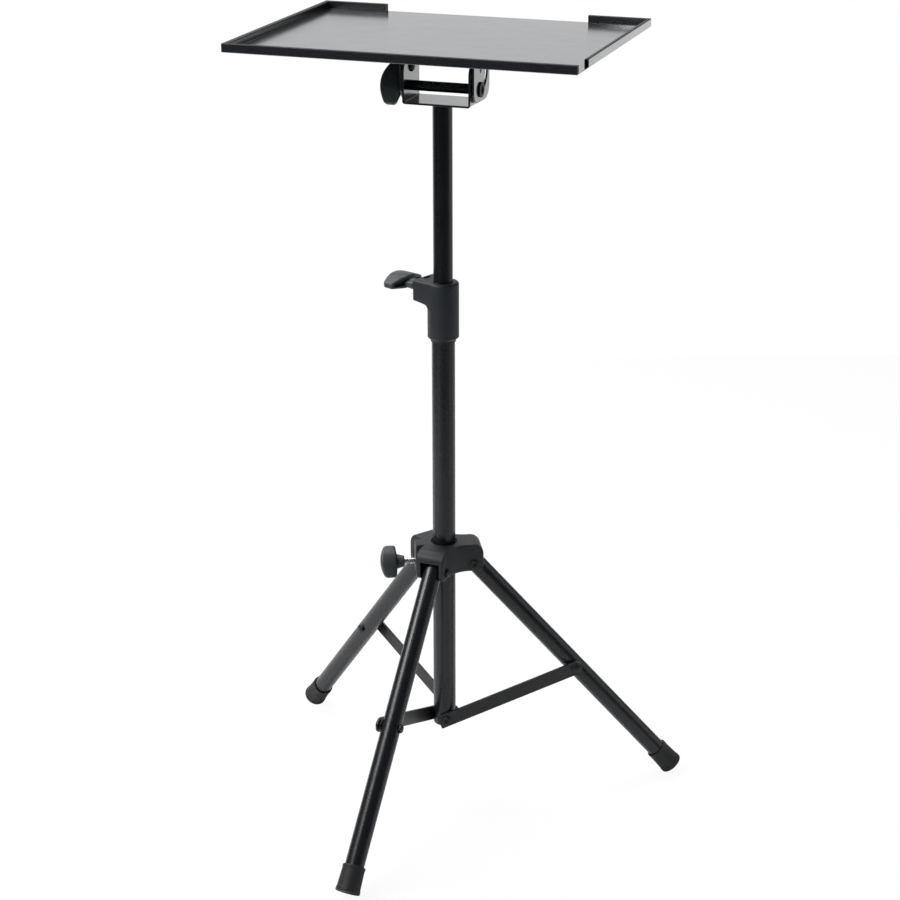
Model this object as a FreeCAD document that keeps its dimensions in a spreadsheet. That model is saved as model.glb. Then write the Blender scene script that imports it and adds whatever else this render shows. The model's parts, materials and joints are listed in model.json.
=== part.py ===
import FreeCAD, Part
import math
import os
import re

import Sketcher
from FreeCAD import Placement, Rotation, Vector

# Tripod shelf stand: folding three-leg base, telescopic column and a tilting sheet-metal tray.
# Millimetres. The origin is on the floor under the column, +Z up, -Y the tray's long rim, +X its right.
# The column, legs and braces are drawn with leg direction +X and turned to their headings,
# which are counted from -Y towards +X.

doc = FreeCAD.newDocument("TripodShelfStand")
sheet = doc.addObject("Spreadsheet::Sheet", "Sizes")

SIZES = [
    # tripod base
    ("leg_heading", 116.7, "heading of the right leg; the others follow at thirds of a turn"),
    ("leg_splay", 40.6, "open leg's angle from the vertical"),
    ("leg_length", 432.5, "hub pivot to the end of the foot"),
    ("leg_radius", 12.5, "leg tube, outside"),
    ("leg_wall", 1.5, "leg tube wall"),
    ("leg_head", 5.0, "leg tube above its hub pivot"),
    ("leg_folded", 4.0, "folded leg's angle from the vertical"),
    ("foot_radius", 16.0, "rubber foot at the floor"),
    ("foot_neck", 14.5, "rubber foot at its open end"),
    ("foot_height", 34.5, "rubber foot along the leg"),
    ("foot_base", 7.0, "rubber under the tube end"),
    ("foot_edge", 0.8, "bevel round the foot's sole"),
    ("brace_station", 214.5, "brace pivot on the leg, from the hub pivot"),
    ("brace_height", 109.0, "brace pivot on the column, above the floor"),
    ("brace_width", 19.0, "flat bar"),
    ("brace_thick", 3.0, "flat bar"),
    ("brace_heel", 10.0, "square lower end past its pivot"),
    ("brace_corner", 1.5, "rounding of the square end"),
    # column
    ("column_radius", 15.0, "outer tube, outside"),
    ("column_wall", 1.5, "outer tube wall"),
    ("column_tail", 8.0, "outer tube below the brace pivots"),
    ("column_top", 690.0, "upper end of the outer tube, inside the collar"),
    ("plug_flange", 2.2, "plug's rim under the tube"),
    ("plug_depth", 22.0, "plug's spigot in the tube"),
    ("mast_radius", 12.5, "inner tube, outside"),
    ("mast_wall", 1.5, "inner tube wall"),
    ("mast_bottom", 320.0, "lower end of the inner tube"),
    ("bush_flange", 6.0, "guide bush under the inner tube"),
    ("bush_spigot", 20.0, "guide bush inside the inner tube"),
    # height collar
    ("collar_heading", -112.5, "heading of the collar's clamp lug"),
    ("collar_radius", 20.3, "sleeve, outside"),
    ("collar_bottom", 648.6, "lower edge of the sleeve"),
    ("collar_height", 76.4, "sleeve height"),
    ("collar_bevel", 3.5, "bevel round the lower edge"),
    ("lip_radius", 16.3, "lip under the sleeve, outside"),
    ("lip_height", 2.5, "lip under the sleeve"),
    ("collar_round", 3.5, "rounding of the upper edge"),
    ("lug_reach", 36.0, "lug's end from the column axis"),
    ("lug_inset", 0.4, "lug's sides inside the sleeve's"),
    ("lug_start", 16.0, "lug's underside from the column axis"),
    ("lug_rise", 2.4, "lug's underside, rising to its end"),
    ("lug_height", 29.0, "lug height"),
    ("lug_blend", 7.0, "hollow rounding under the lug"),
    ("nut_place", 25.0, "nut pocket from the column axis"),
    ("nut_thick", 5.0, "square nut"),
    ("nut_side", 13.0, "square nut"),
    # leg hub
    ("hub_pivot_radius", 38.0, "leg pivot from the column axis"),
    ("hub_drop", 10.0, "hub's lower edge under the leg pivot"),
    ("hub_height", 38.5, "hub height"),
    ("hub_reach", 50.5, "arm's end from the column axis"),
    ("hub_arm_width", 39.0, "arm across its cheeks"),
    ("hub_cheek", 6.3, "cheek beside the leg"),
    ("hub_web", 8.0, "top of the arm at the slot's inner end"),
    ("hub_lintel", 14.0, "top of the arm at its outer end"),
    ("hub_crown", 14.0, "rounding of the arm's upper end"),
    ("hub_heel", 7.0, "rounding of the arm's lower end"),
    ("hub_round", 2.5, "rounding along the arm's edges"),
    ("hub_blend", 34.0, "hollow corner between two arms"),
    ("hub_slot_start", 21.8, "leg slot's inner end from the column axis"),
    ("hub_mouth_radius", 17.5, "recess round the column"),
    ("hub_mouth_depth", 3.0, "recess round the column"),
    ("hub_boss_width", 22.0, "boss for the clamp screw"),
    ("hub_boss_reach", 39.0, "boss's end from the column axis"),
    ("hub_knob_rise", 2.0, "clamp screw above the leg pivot"),
    # wing knobs
    ("knob_depth", 0.51, "wing along its screw, as a share of its span"),
    ("knob_thick", 12.0, "wing thickness"),
    ("knob_tip", 0.37, "wing's outer corner along its screw, as a share of its span"),
    ("knob_round", 3.0, "rounding of the wing's edges"),
    ("knob_slant", 0.11, "wing's inner corner along its screw, as a share of its span"),
    ("knob_flat", 16.0, "straight part of the wing's inner edge"),
    ("knob_stem_radius", 7.5, "stem"),
    ("knob_stem", 10.0, "stem length"),
    ("knob_hole", 14.0, "screw's depth in the knob"),
    ("collar_knob_span", 58.0, "wing from tip to tip"),
    ("collar_knob_start", 46.0, "stem's inner end from the column axis"),
    ("collar_knob_drop", 13.0, "screw under the collar's top"),
    ("collar_knob_roll", 90.0, "wing's turn about its screw from upright"),
    ("hub_knob_span", 43.0, "wing from tip to tip"),
    ("hub_knob_slant", 0.03, "wing's inner corner along its screw, as a share of its span"),
    ("hub_knob_roll", 35.0, "wing's turn about its screw from upright"),
    ("hub_knob_start", 53.5, "stem's inner end from the column axis"),
    ("tilt_knob_span", 53.0, "wing from tip to tip"),
    ("tilt_knob_stem", 5.0, "stem length"),
    ("tilt_knob_roll", 27.0, "wing's turn about its bolt from upright"),
    # tilt bracket
    ("cradle_bottom", 954.5, "underside of the lower bracket"),
    ("cradle_half", 44.3, "lower bracket's half width"),
    ("cradle_depth", 56.0, "lower bracket, front to back"),
    ("cradle_setback", 4.0, "bracket's middle behind the column axis"),
    ("sheet_thick", 2.5, "bracket sheet"),
    ("bend_radius", 1.0, "inside of the sheet's bends"),
    ("clamp_rise", 18.5, "clamp bolt above the lower bracket's underside"),
    ("tilt_radius", 24.0, "tilt pivot above the clamp bolt"),
    ("ear_top", 10.0, "lower ears above the tilt pivot"),
    ("ear_gap", 1.5, "between lower and upper ears"),
    ("hanger_front", 25.0, "upper ears in front of the pivot"),
    ("hanger_back", 35.0, "upper ears behind the pivot"),
    ("hanger_drop", 39.0, "upper ears under the pivot"),
    ("hanger_corner", 18.0, "rounding of the ear's lower rear corner"),
    ("hanger_toe", 15.0, "rounding of the ear's lower front corner"),
    ("tilt_range", 90.0, "tray tilt, level to upright"),
    ("clamp_radius", 4.0, "clamp bolt"),
    ("clamp_head_radius", 9.5, "clamp bolt's head"),
    ("clamp_head", 2.0, "clamp bolt's head"),
    ("spacer_radius", 6.4, "spacer tube between the ears"),
    ("rivet_radius", 3.0, "pivot rivet"),
    ("rivet_head_radius", 7.0, "pivot rivet's inner head"),
    ("rivet_head", 4.0, "pivot rivet's inner head"),
    # tray
    ("tray_rise", 35.5, "underside of the tray above the tilt pivot"),
    ("tray_width", 441.0, "left to right"),
    ("tray_depth", 330.0, "front to back"),
    ("tray_thick", 1.5, "sheet"),
    ("tray_rim", 11.0, "rim from the underside"),
    ("rim_thick", 5.5, "hemmed rim"),
    ("rim_round", 0.9, "rolled top of the rim"),
    ("hem_wall", 1.3, "sheet round the hem's hollow"),
    ("rim_bend", 1.2, "rounding under the rims"),
    ("rim_notch", 45.0, "gap at the front right corner"),
    ("stub_length", 72.0, "short rims at the back corners"),
    # fasteners and fits
    ("bolt_radius", 3.0, "leg and brace bolts"),
    ("bolt_head_radius", 6.2, "leg and brace bolts"),
    ("bolt_head", 3.0, "leg and brace bolts"),
    ("bolt_nut", 4.0, "leg and brace bolts"),
    ("screw_radius", 4.0, "knob screws"),
    ("screw_tip", 1.0, "screw's end from the tube it clamps"),
    ("pivot_tip", 5.0, "brace screw's end from the column axis"),
    ("fit_gap", 0.1, "hole over a bolt, radial"),
    ("slide_gap", 0.3, "sliding pieces and faces that pass"),
    ("slot_gap", 0.5, "bolt in the tilt slot and leg in the hub, each side"),
]

for row, (alias, number, note) in enumerate(SIZES, start=1):
    sheet.set(f"A{row}", note)
    sheet.set(f"B{row}", str(number))
    sheet.setAlias(f"B{row}", alias)
doc.recompute()

# Sizes worked out from the sheet, as expressions of its aliases.
HUB_PIVOT_HEIGHT = "(leg_length * cos(leg_splay) + foot_radius * sin(leg_splay))"
HUB_BOTTOM = f"({HUB_PIVOT_HEIGHT} - hub_drop)"
HUB_TOP = f"({HUB_BOTTOM} + hub_height)"
HUB_KNOB_HEIGHT = f"({HUB_PIVOT_HEIGHT} + hub_knob_rise)"
BRACE_RUN = "(hub_pivot_radius + brace_station * sin(leg_splay))"
BRACE_RISE = f"({HUB_PIVOT_HEIGHT} - brace_station * cos(leg_splay) - brace_height)"
BRACE_LENGTH = f"sqrt({BRACE_RUN} * {BRACE_RUN} + {BRACE_RISE} * {BRACE_RISE})"
BRACE_INNER = "(column_radius + slide_gap)"
BRACE_OUTER = f"({BRACE_INNER} + brace_thick)"
COLUMN_BOTTOM = "(brace_height - column_tail)"
COLUMN_BORE = "(column_radius - column_wall)"
MAST_BORE = "(mast_radius - mast_wall)"
COLLAR_TOP = "(collar_bottom + collar_height)"
COLLAR_KNOB_HEIGHT = f"({COLLAR_TOP} - collar_knob_drop)"
CLAMP_HEIGHT = "(cradle_bottom + clamp_rise)"
TILT_HEIGHT = f"({CLAMP_HEIGHT} + tilt_radius)"
TRAY_BOTTOM = f"({TILT_HEIGHT} + tray_rise)"
EAR_INNER = "(cradle_half - sheet_thick)"
HANGER_INNER = "(cradle_half + ear_gap)"
HANGER_OUTER = f"({HANGER_INNER} + sheet_thick)"
SLOT_HALF = "(clamp_radius + slot_gap)"
LUG_WIDTH = "2 * (collar_radius - lug_inset)"
LEGS = ("right", "left", "front")

parts = []


def bound(expression):
    """The expression with each alias read from the sheet."""
    return re.sub(r"\b[a-z]+(?:_[a-z]+)+\b", lambda word: f"Sizes.{word.group()}", expression)


def size(expression):
    """The expression's number, in millimetres or degrees."""
    return float(sheet.evalExpression(bound(expression)))


def new_body(label):
    body = doc.addObject("PartDesign::Body", label)
    body.Label = label
    parts.append(body)
    return body


def datum(body, role):
    return next(item for item in body.Origin.OriginFeatures if item.Role == role)


def new_sketch(body, role, offset="0"):
    """A sketch on one of the body's own planes, moved along the plane's normal."""
    sketch = body.newObject("Sketcher::SketchObject", f"{body.Name}_sketch")
    sketch.AttachmentSupport = [(datum(body, role), "")]
    sketch.MapMode = "FlatFace"
    if offset != "0":
        sketch.setExpression("AttachmentOffset.Base.z", bound(offset))
    return sketch


def drive(sketch, constraint, expression):
    index = sketch.addConstraint(constraint)
    sketch.setExpression(f"Constraints[{index}]", bound(expression))


def fix_across(sketch, geometry, end, expression):
    if expression == "0":
        sketch.addConstraint(Sketcher.Constraint("PointOnObject", geometry, end, -2))
    else:
        drive(sketch, Sketcher.Constraint("DistanceX", -1, 1, geometry, end, size(expression)), expression)


def fix_up(sketch, geometry, end, expression):
    if expression == "0":
        sketch.addConstraint(Sketcher.Constraint("PointOnObject", geometry, end, -1))
    else:
        drive(sketch, Sketcher.Constraint("DistanceY", -1, 1, geometry, end, size(expression)), expression)


def draw_circle(sketch, radius, across="0", up="0"):
    centre = Vector(size(across), size(up), 0)
    circle = sketch.addGeometry(Part.Circle(centre, Vector(0, 0, 1), size(radius)), False)
    fix_across(sketch, circle, 3, across)
    fix_up(sketch, circle, 3, up)
    drive(sketch, Sketcher.Constraint("Radius", circle, size(radius)), radius)


def arc_between(start, end, centre, turn):
    """The arc about a centre from start to end; turn is 1 to the left, -1 to the right."""
    first = math.atan2(start.y - centre.y, start.x - centre.x)
    last = math.atan2(end.y - centre.y, end.x - centre.x)
    sweep = (turn * (last - first)) % (2 * math.pi)
    middle = first + turn * sweep / 2
    radius = (start - centre).Length
    return Part.Arc(start, centre + Vector(radius * math.cos(middle), radius * math.sin(middle), 0), end)


def draw_outline(sketch, corners, arcs=None):
    """A closed outline. arcs maps a corner's number to (centre across, centre up, turn) of the arc
    that leaves it; the other sides are straight."""
    arcs = arcs or {}
    points = [Vector(size(across), size(up), 0) for across, up in corners]
    sides = []
    for number, start in enumerate(points):
        end = points[(number + 1) % len(points)]
        if number in arcs:
            across, up, turn = arcs[number]
            centre = Vector(size(across), size(up), 0)
            side = sketch.addGeometry(arc_between(start, end, centre, turn), False)
            if abs(end.y - start.y) > abs(end.x - start.x):
                fix_across(sketch, side, 3, across)
            else:
                fix_up(sketch, side, 3, up)
        else:
            side = sketch.addGeometry(Part.LineSegment(start, end), False)
        forward = (sketch.getPoint(side, 1) - start).Length < (sketch.getPoint(side, 2) - start).Length
        sides.append((side, 1, 2) if forward else (side, 2, 1))
    for number, (side, first, last) in enumerate(sides):
        following, joined = sides[(number + 1) % len(sides)][:2]
        sketch.addConstraint(Sketcher.Constraint("Coincident", side, last, following, joined))
        fix_across(sketch, side, first, corners[number][0])
        fix_up(sketch, side, first, corners[number][1])


def draw_rectangle(sketch, left, right, low, high):
    draw_outline(sketch, [(left, low), (right, low), (right, high), (left, high)])


def extrude(body, kind, sketch, length, both_ways=False, backwards=False):
    feature = body.newObject(f"PartDesign::{kind}", f"{body.Name}_{kind}")
    feature.Profile = sketch
    feature.SideType = "Symmetric" if both_ways else "One side"
    feature.Reversed = backwards
    feature.setExpression("Length", bound(length))
    doc.recompute()
    return feature


def pad(body, sketch, length, both_ways=False, backwards=False):
    return extrude(body, "Pad", sketch, length, both_ways, backwards)


def pocket(body, sketch, length, both_ways=False, backwards=False):
    before = body.Shape.Volume
    feature = extrude(body, "Pocket", sketch, length, both_ways, backwards)
    if body.Shape.Volume > before - 0.01:
        raise ValueError(f"{feature.Name} cuts nothing")
    return feature


def revolve(body, sketch, axis="V_Axis", kind="Revolution"):
    feature = body.newObject(f"PartDesign::{kind}", f"{body.Name}_{kind}")
    feature.Profile = sketch
    feature.ReferenceAxis = (sketch, [axis])
    feature.Angle = 360
    doc.recompute()
    return feature


def three_times(body, feature):
    """Repeats a feature at thirds of a turn round the body's Z axis."""
    pattern = body.newObject("PartDesign::PolarPattern", f"{body.Name}_PolarPattern")
    pattern.Originals = [feature]
    pattern.Axis = (datum(body, "Z_Axis"), [""])
    pattern.Angle = 360
    pattern.Occurrences = len(LEGS)
    body.Tip = pattern
    doc.recompute()
    return pattern


def round_edges(body, radius, chosen):
    """Fillets the edges of the body's tip for which chosen(edge) is true."""
    base = body.Tip
    names = [f"Edge{number}" for number, edge in enumerate(base.Shape.Edges, start=1) if chosen(edge)]
    feature = body.newObject("PartDesign::Fillet", f"{body.Name}_Fillet")
    feature.Base = (base, names)
    feature.setExpression("Radius", bound(radius))
    doc.recompute()
    return feature


def turned(heading):
    """Local +X turned to a heading."""
    return Placement(Vector(), Rotation(Vector(0, 0, 1), heading - 90))


def leg_turn(number):
    return turned(size("leg_heading") + number * 360 / len(LEGS))


def leg_place(number):
    """Leg frame: origin at the hub pivot, +Z up along the leg, -Y the brace's side."""
    pivot = Vector(size("hub_pivot_radius"), 0, size(HUB_PIVOT_HEIGHT))
    return leg_turn(number) * Placement(pivot, Rotation(Vector(0, 1, 0), -size("leg_splay")))


def brace_place(number):
    """Brace frame: origin at the lower pivot, +X along the bar, -Y away from the column."""
    slope = math.degrees(math.atan2(size(BRACE_RISE), size(BRACE_RUN)))
    pivot = Vector(0, 0, size("brace_height"))
    return leg_turn(number) * Placement(pivot, Rotation(Vector(0, 1, 0), -slope))


def make_tube(body, radius, wall, low, high):
    sketch = new_sketch(body, "XY_Plane", low)
    draw_circle(sketch, radius)
    draw_circle(sketch, f"{radius} - {wall}")
    return pad(body, sketch, f"{high} - ({low})")


def make_turned(body, role, corners, axis="V_Axis", offset="0"):
    sketch = new_sketch(body, role, offset)
    draw_outline(sketch, corners)
    return revolve(body, sketch, axis)


def cross_hole(body, radius, across, up, length, role="XZ_Plane"):
    """A hole through the body, across one of its planes."""
    sketch = new_sketch(body, role)
    draw_circle(sketch, radius, across, up)
    return pocket(body, sketch, length, both_ways=True)


# Column

def make_column_tube():
    body = new_body("column_tube")
    make_tube(body, "column_radius", "column_wall", COLUMN_BOTTOM, "column_top")
    sketch = new_sketch(body, "XZ_Plane")
    draw_circle(sketch, "bolt_radius + fit_gap", "0", "brace_height")
    three_times(body, pocket(body, sketch, "column_radius + fit_gap", backwards=True))
    body.Placement = leg_turn(0)


def make_column_plug():
    body = new_body("column_plug")
    spigot = f"{COLUMN_BORE} - fit_gap"
    make_turned(body, "XZ_Plane", [
        ("0", f"{COLUMN_BOTTOM} - plug_flange"),
        ("column_radius - column_wall", f"{COLUMN_BOTTOM} - plug_flange"),
        ("column_radius", f"{COLUMN_BOTTOM} - plug_flange + column_wall"),
        ("column_radius", COLUMN_BOTTOM),
        (spigot, COLUMN_BOTTOM),
        (spigot, f"{COLUMN_BOTTOM} + plug_depth"),
        ("0", f"{COLUMN_BOTTOM} + plug_depth"),
    ])
    sketch = new_sketch(body, "XZ_Plane", "pivot_tip - fit_gap")
    draw_circle(sketch, "bolt_radius + fit_gap", "0", "brace_height")
    three_times(body, pocket(body, sketch, "column_radius", backwards=True))
    body.Placement = leg_turn(0)


def make_height_collar():
    body = new_body("height_collar")
    make_turned(body, "XZ_Plane", [
        ("0", "collar_bottom - lip_height"),
        ("lip_radius", "collar_bottom - lip_height"),
        ("lip_radius", "collar_bottom"),
        ("collar_radius - collar_bevel", "collar_bottom"),
        ("collar_radius", "collar_bottom + collar_bevel"),
        ("collar_radius", COLLAR_TOP),
        ("0", COLLAR_TOP),
    ])
    lug = new_sketch(body, "XZ_Plane")
    low = f"{COLLAR_TOP} - lug_height"
    draw_outline(lug, [
        ("0", COLLAR_TOP),
        ("0", f"{low} - lug_blend"),
        ("lug_start - lug_blend", f"{low} - lug_blend"),
        ("lug_start", low),
        ("lug_reach", f"{low} + lug_rise"),
        ("lug_reach", COLLAR_TOP),
    ], {2: ("lug_start", f"{low} - lug_blend", -1)})
    pad(body, lug, LUG_WIDTH, both_ways=True)
    round_edges(body, "collar_round", lambda edge: edge.BoundBox.ZMin > size(COLLAR_TOP) - 0.01
                or edge.BoundBox.XMin > size("lug_reach") - 0.01)
    bore = new_sketch(body, "XZ_Plane")
    draw_outline(bore, [
        ("0", "collar_bottom - lip_height - slide_gap"),
        ("column_radius + fit_gap", "collar_bottom - lip_height - slide_gap"),
        ("column_radius + fit_gap", "column_top"),
        ("mast_radius + slide_gap", "column_top"),
        ("mast_radius + slide_gap", f"{COLLAR_TOP} + slide_gap"),
        ("0", f"{COLLAR_TOP} + slide_gap"),
    ])
    revolve(body, bore, kind="Groove")
    screw = new_sketch(body, "YZ_Plane")
    draw_circle(screw, "screw_radius + fit_gap", "0", COLLAR_KNOB_HEIGHT)
    pocket(body, screw, "lug_reach + fit_gap", backwards=True)
    slot = new_sketch(body, "XY_Plane", f"{COLLAR_KNOB_HEIGHT} - nut_side / 2")
    draw_rectangle(slot, "nut_place - fit_gap", "nut_place + nut_thick + fit_gap",
                   "-nut_side / 2 - fit_gap", "nut_side / 2 + fit_gap")
    pocket(body, slot, "lug_height", backwards=True)
    body.Placement = turned(size("collar_heading"))


def make_collar_nut():
    body = new_body("collar_nut")
    sketch = new_sketch(body, "YZ_Plane", "nut_place")
    draw_rectangle(sketch, "-nut_side / 2", "nut_side / 2",
                   f"{COLLAR_KNOB_HEIGHT} - nut_side / 2", f"{COLLAR_KNOB_HEIGHT} + nut_side / 2")
    draw_circle(sketch, "screw_radius + fit_gap", "0", COLLAR_KNOB_HEIGHT)
    pad(body, sketch, "nut_thick")
    body.Placement = turned(size("collar_heading"))


# Wing knobs and their screws, drawn along local +X

def make_knob(label, span, slant_share, start, stem, place):
    body = new_body(label)
    wing = new_sketch(body, "XZ_Plane")
    inner = f"{start} + {stem}"
    tip, slant = f"{inner} + knob_tip * {span}", f"{inner} + {slant_share} * {span}"
    bulge = f"((knob_depth - knob_tip) * {span})"
    centre = f"{inner} + knob_depth * {span} - ({bulge} * {bulge} + {span} * {span} / 4) / (2 * {bulge})"
    draw_outline(wing, [
        (inner, "-knob_flat / 2"),
        (slant, f"-{span} / 2"),
        (tip, f"-{span} / 2"),
        (tip, f"{span} / 2"),
        (slant, f"{span} / 2"),
        (inner, "knob_flat / 2"),
    ], {2: (centre, "0", 1)})
    pad(body, wing, "knob_thick", both_ways=True)
    round_edges(body, "knob_round", lambda edge: True)
    post = new_sketch(body, "YZ_Plane", start)
    draw_circle(post, "knob_stem_radius")
    pad(body, post, f"{stem} + {slant_share} * {span}")
    hole = new_sketch(body, "YZ_Plane", start)
    draw_circle(hole, "screw_radius + fit_gap")
    pocket(body, hole, "knob_hole", backwards=True)
    body.Placement = place


def make_screw(label, tip, end, place):
    body = new_body(label)
    sketch = new_sketch(body, "YZ_Plane", tip)
    draw_circle(sketch, "screw_radius")
    pad(body, sketch, f"{end} - ({tip})")
    body.Placement = place


def screw_place(heading, height, roll):
    """Screw frame: +X out along the screw, the wing's tips on +Z and -Z before the roll."""
    level = Placement(Vector(0, 0, height), Rotation(Vector(1, 0, 0), roll))
    return turned(heading) * level


# Leg hub, drawn with the right leg's arm along +X

def is_hub_edge(edge):
    """Whether an edge runs round an arm's cheek: along its top, over its crown or down its end."""
    box = edge.BoundBox
    low = size(HUB_BOTTOM)
    inner = math.hypot(edge.CenterOfMass.x, edge.CenterOfMass.y) < size("hub_boss_reach - hub_round")
    upright = box.XLength < 0.01 and box.YLength < 0.01
    across_arm = box.ZLength < 0.01 and abs(edge.Length - size("hub_arm_width")) < 0.01
    return box.ZMax > low + 0.01 and not across_arm and not (upright and inner)


def is_hub_corner(edge):
    """Whether an edge is the upright hollow corner where two arms meet."""
    box = edge.BoundBox
    meeting = size("hub_arm_width / 2") / math.sin(math.pi / 3)
    far = math.hypot(edge.CenterOfMass.x, edge.CenterOfMass.y)
    return box.XLength < 0.01 and box.YLength < 0.01 and abs(far - meeting) < 0.01


def make_leg_hub():
    body = new_body("leg_hub")
    arm = new_sketch(body, "XZ_Plane")
    draw_outline(arm, [
        ("0", HUB_BOTTOM),
        ("hub_reach - hub_heel", HUB_BOTTOM),
        ("hub_reach", f"{HUB_BOTTOM} + hub_heel"),
        ("hub_reach", f"{HUB_TOP} - hub_crown"),
        ("hub_reach - hub_crown", HUB_TOP),
        ("0", HUB_TOP),
    ], {1: ("hub_reach - hub_heel", f"{HUB_BOTTOM} + hub_heel", 1),
        3: ("hub_reach - hub_crown", f"{HUB_TOP} - hub_crown", 1)})
    three_times(body, pad(body, arm, "hub_arm_width", both_ways=True))
    boss = new_sketch(body, "XZ_Plane")
    draw_rectangle(boss, "-hub_boss_reach", "0", HUB_BOTTOM, HUB_TOP)
    pad(body, boss, "hub_boss_width", both_ways=True)
    round_edges(body, "hub_blend", is_hub_corner)
    round_edges(body, "hub_round", is_hub_edge)
    slot = new_sketch(body, "XZ_Plane")
    draw_outline(slot, [
        ("hub_slot_start", f"{HUB_BOTTOM} - slot_gap"),
        ("hub_reach + slot_gap", f"{HUB_BOTTOM} - slot_gap"),
        ("hub_reach + slot_gap", f"{HUB_TOP} - hub_lintel"),
        ("hub_slot_start", f"{HUB_TOP} - hub_web"),
    ])
    three_times(body, pocket(body, slot, "hub_arm_width - 2 * hub_cheek", both_ways=True))
    three_times(body, cross_hole(body, "bolt_radius + fit_gap", "hub_pivot_radius", HUB_PIVOT_HEIGHT,
                                 "hub_arm_width + bolt_head"))
    bore = new_sketch(body, "XZ_Plane")
    draw_outline(bore, [
        ("0", f"{HUB_BOTTOM} - slot_gap"),
        ("column_radius + slide_gap", f"{HUB_BOTTOM} - slot_gap"),
        ("column_radius + slide_gap", f"{HUB_TOP} - hub_mouth_depth"),
        ("hub_mouth_radius", f"{HUB_TOP} - hub_mouth_depth"),
        ("hub_mouth_radius", f"{HUB_TOP} + slot_gap"),
        ("0", f"{HUB_TOP} + slot_gap"),
    ])
    revolve(body, bore, kind="Groove")
    screw = new_sketch(body, "YZ_Plane")
    draw_circle(screw, "screw_radius + fit_gap", "0", HUB_KNOB_HEIGHT)
    pocket(body, screw, "hub_boss_reach + fit_gap")
    body.Placement = leg_turn(0)


def make_hub_bolt(number, name):
    body = new_body(f"hub_bolt_{name}")
    side = "hub_arm_width / 2"
    make_turned(body, "XY_Plane", [
        ("0", f"-{side} - bolt_head"),
        ("bolt_head_radius", f"-{side} - bolt_head"),
        ("bolt_head_radius", f"-{side}"),
        ("bolt_radius", f"-{side}"),
        ("bolt_radius", side),
        ("bolt_head_radius", side),
        ("bolt_head_radius", f"{side} + bolt_nut"),
        ("0", f"{side} + bolt_nut"),
    ])
    body.Placement = leg_place(number)


# Legs and braces

def make_leg_tube(number, name):
    body = new_body(f"leg_tube_{name}")
    make_tube(body, "leg_radius", "leg_wall", "foot_base - leg_length", "leg_head")
    cross_hole(body, "bolt_radius + fit_gap", "0", "0", "3 * leg_radius")
    cross_hole(body, "bolt_radius + fit_gap", "0", "-brace_station", "3 * leg_radius")
    body.Placement = leg_place(number)


def make_foot(number, name):
    body = new_body(f"foot_{name}")
    make_turned(body, "XZ_Plane", [
        ("0", "-leg_length"),
        ("foot_radius - foot_edge", "-leg_length"),
        ("foot_radius", "-leg_length + foot_edge"),
        ("foot_neck", "-leg_length + foot_height"),
        ("leg_radius + fit_gap", "-leg_length + foot_height"),
        ("leg_radius + fit_gap", "-leg_length + foot_base"),
        ("0", "-leg_length + foot_base"),
    ])
    body.Placement = leg_place(number)


def make_leg_bolt(number, name):
    body = new_body(f"leg_bolt_{name}")
    seat = f"-{BRACE_INNER} + slide_gap"
    make_turned(body, "XY_Plane", [
        ("0", seat),
        ("bolt_head_radius", seat),
        ("bolt_head_radius", "-leg_radius"),
        ("bolt_radius", "-leg_radius"),
        ("bolt_radius", "leg_radius"),
        ("bolt_head_radius", "leg_radius"),
        ("bolt_head_radius", "leg_radius + bolt_nut"),
        ("0", "leg_radius + bolt_nut"),
    ], offset="-brace_station")
    body.Placement = leg_place(number)


def make_brace(number, name):
    body = new_body(f"brace_{name}")
    half = "brace_width / 2"
    sketch = new_sketch(body, "XZ_Plane", BRACE_INNER)
    draw_outline(sketch, [
        ("-brace_heel", f"-{half}"), (BRACE_LENGTH, f"-{half}"), (BRACE_LENGTH, half), ("-brace_heel", half),
    ], {1: (BRACE_LENGTH, "0", 1)})
    draw_circle(sketch, "bolt_radius + fit_gap", "0", "0")
    draw_circle(sketch, "bolt_radius + fit_gap", BRACE_LENGTH, "0")
    pad(body, sketch, "brace_thick")
    round_edges(body, "brace_corner", lambda edge: edge.BoundBox.XMax < 0 and edge.BoundBox.ZLength < 0.01)
    body.Placement = brace_place(number)


def make_brace_screw(number, name):
    body = new_body(f"brace_screw_{name}")
    make_turned(body, "XY_Plane", [
        ("0", f"-{BRACE_OUTER} - slide_gap - bolt_head"),
        ("bolt_head_radius", f"-{BRACE_OUTER} - slide_gap - bolt_head"),
        ("bolt_head_radius", f"-{BRACE_OUTER} - slide_gap"),
        ("bolt_radius", f"-{BRACE_OUTER} - slide_gap"),
        ("bolt_radius", "-pivot_tip"),
        ("0", "-pivot_tip"),
    ], offset="brace_height")
    body.Placement = leg_turn(number)


def make_brace_rivet(number, name):
    body = new_body(f"brace_rivet_{name}")
    make_turned(body, "XY_Plane", [
        ("0", f"-{BRACE_OUTER} - bolt_head"),
        ("bolt_head_radius", f"-{BRACE_OUTER} - bolt_head"),
        ("bolt_head_radius", f"-{BRACE_OUTER}"),
        ("bolt_radius", f"-{BRACE_OUTER}"),
        ("bolt_radius", f"-{BRACE_INNER}"),
        ("0", f"-{BRACE_INNER}"),
    ])
    body.Placement = brace_place(number) * Placement(Vector(size(BRACE_LENGTH), 0, 0), Rotation())


# Mast and tilt bracket

def make_mast():
    body = new_body("mast_tube")
    make_tube(body, "mast_radius", "mast_wall", "mast_bottom", "cradle_bottom")
    bush = new_body("mast_bush")
    make_turned(bush, "XZ_Plane", [
        ("0", "mast_bottom - bush_flange"),
        (f"{COLUMN_BORE} - slide_gap", "mast_bottom - bush_flange"),
        (f"{COLUMN_BORE} - slide_gap", "mast_bottom"),
        (f"{MAST_BORE} - fit_gap", "mast_bottom"),
        (f"{MAST_BORE} - fit_gap", "mast_bottom + bush_spigot"),
        ("0", "mast_bottom + bush_spigot"),
    ])


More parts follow.
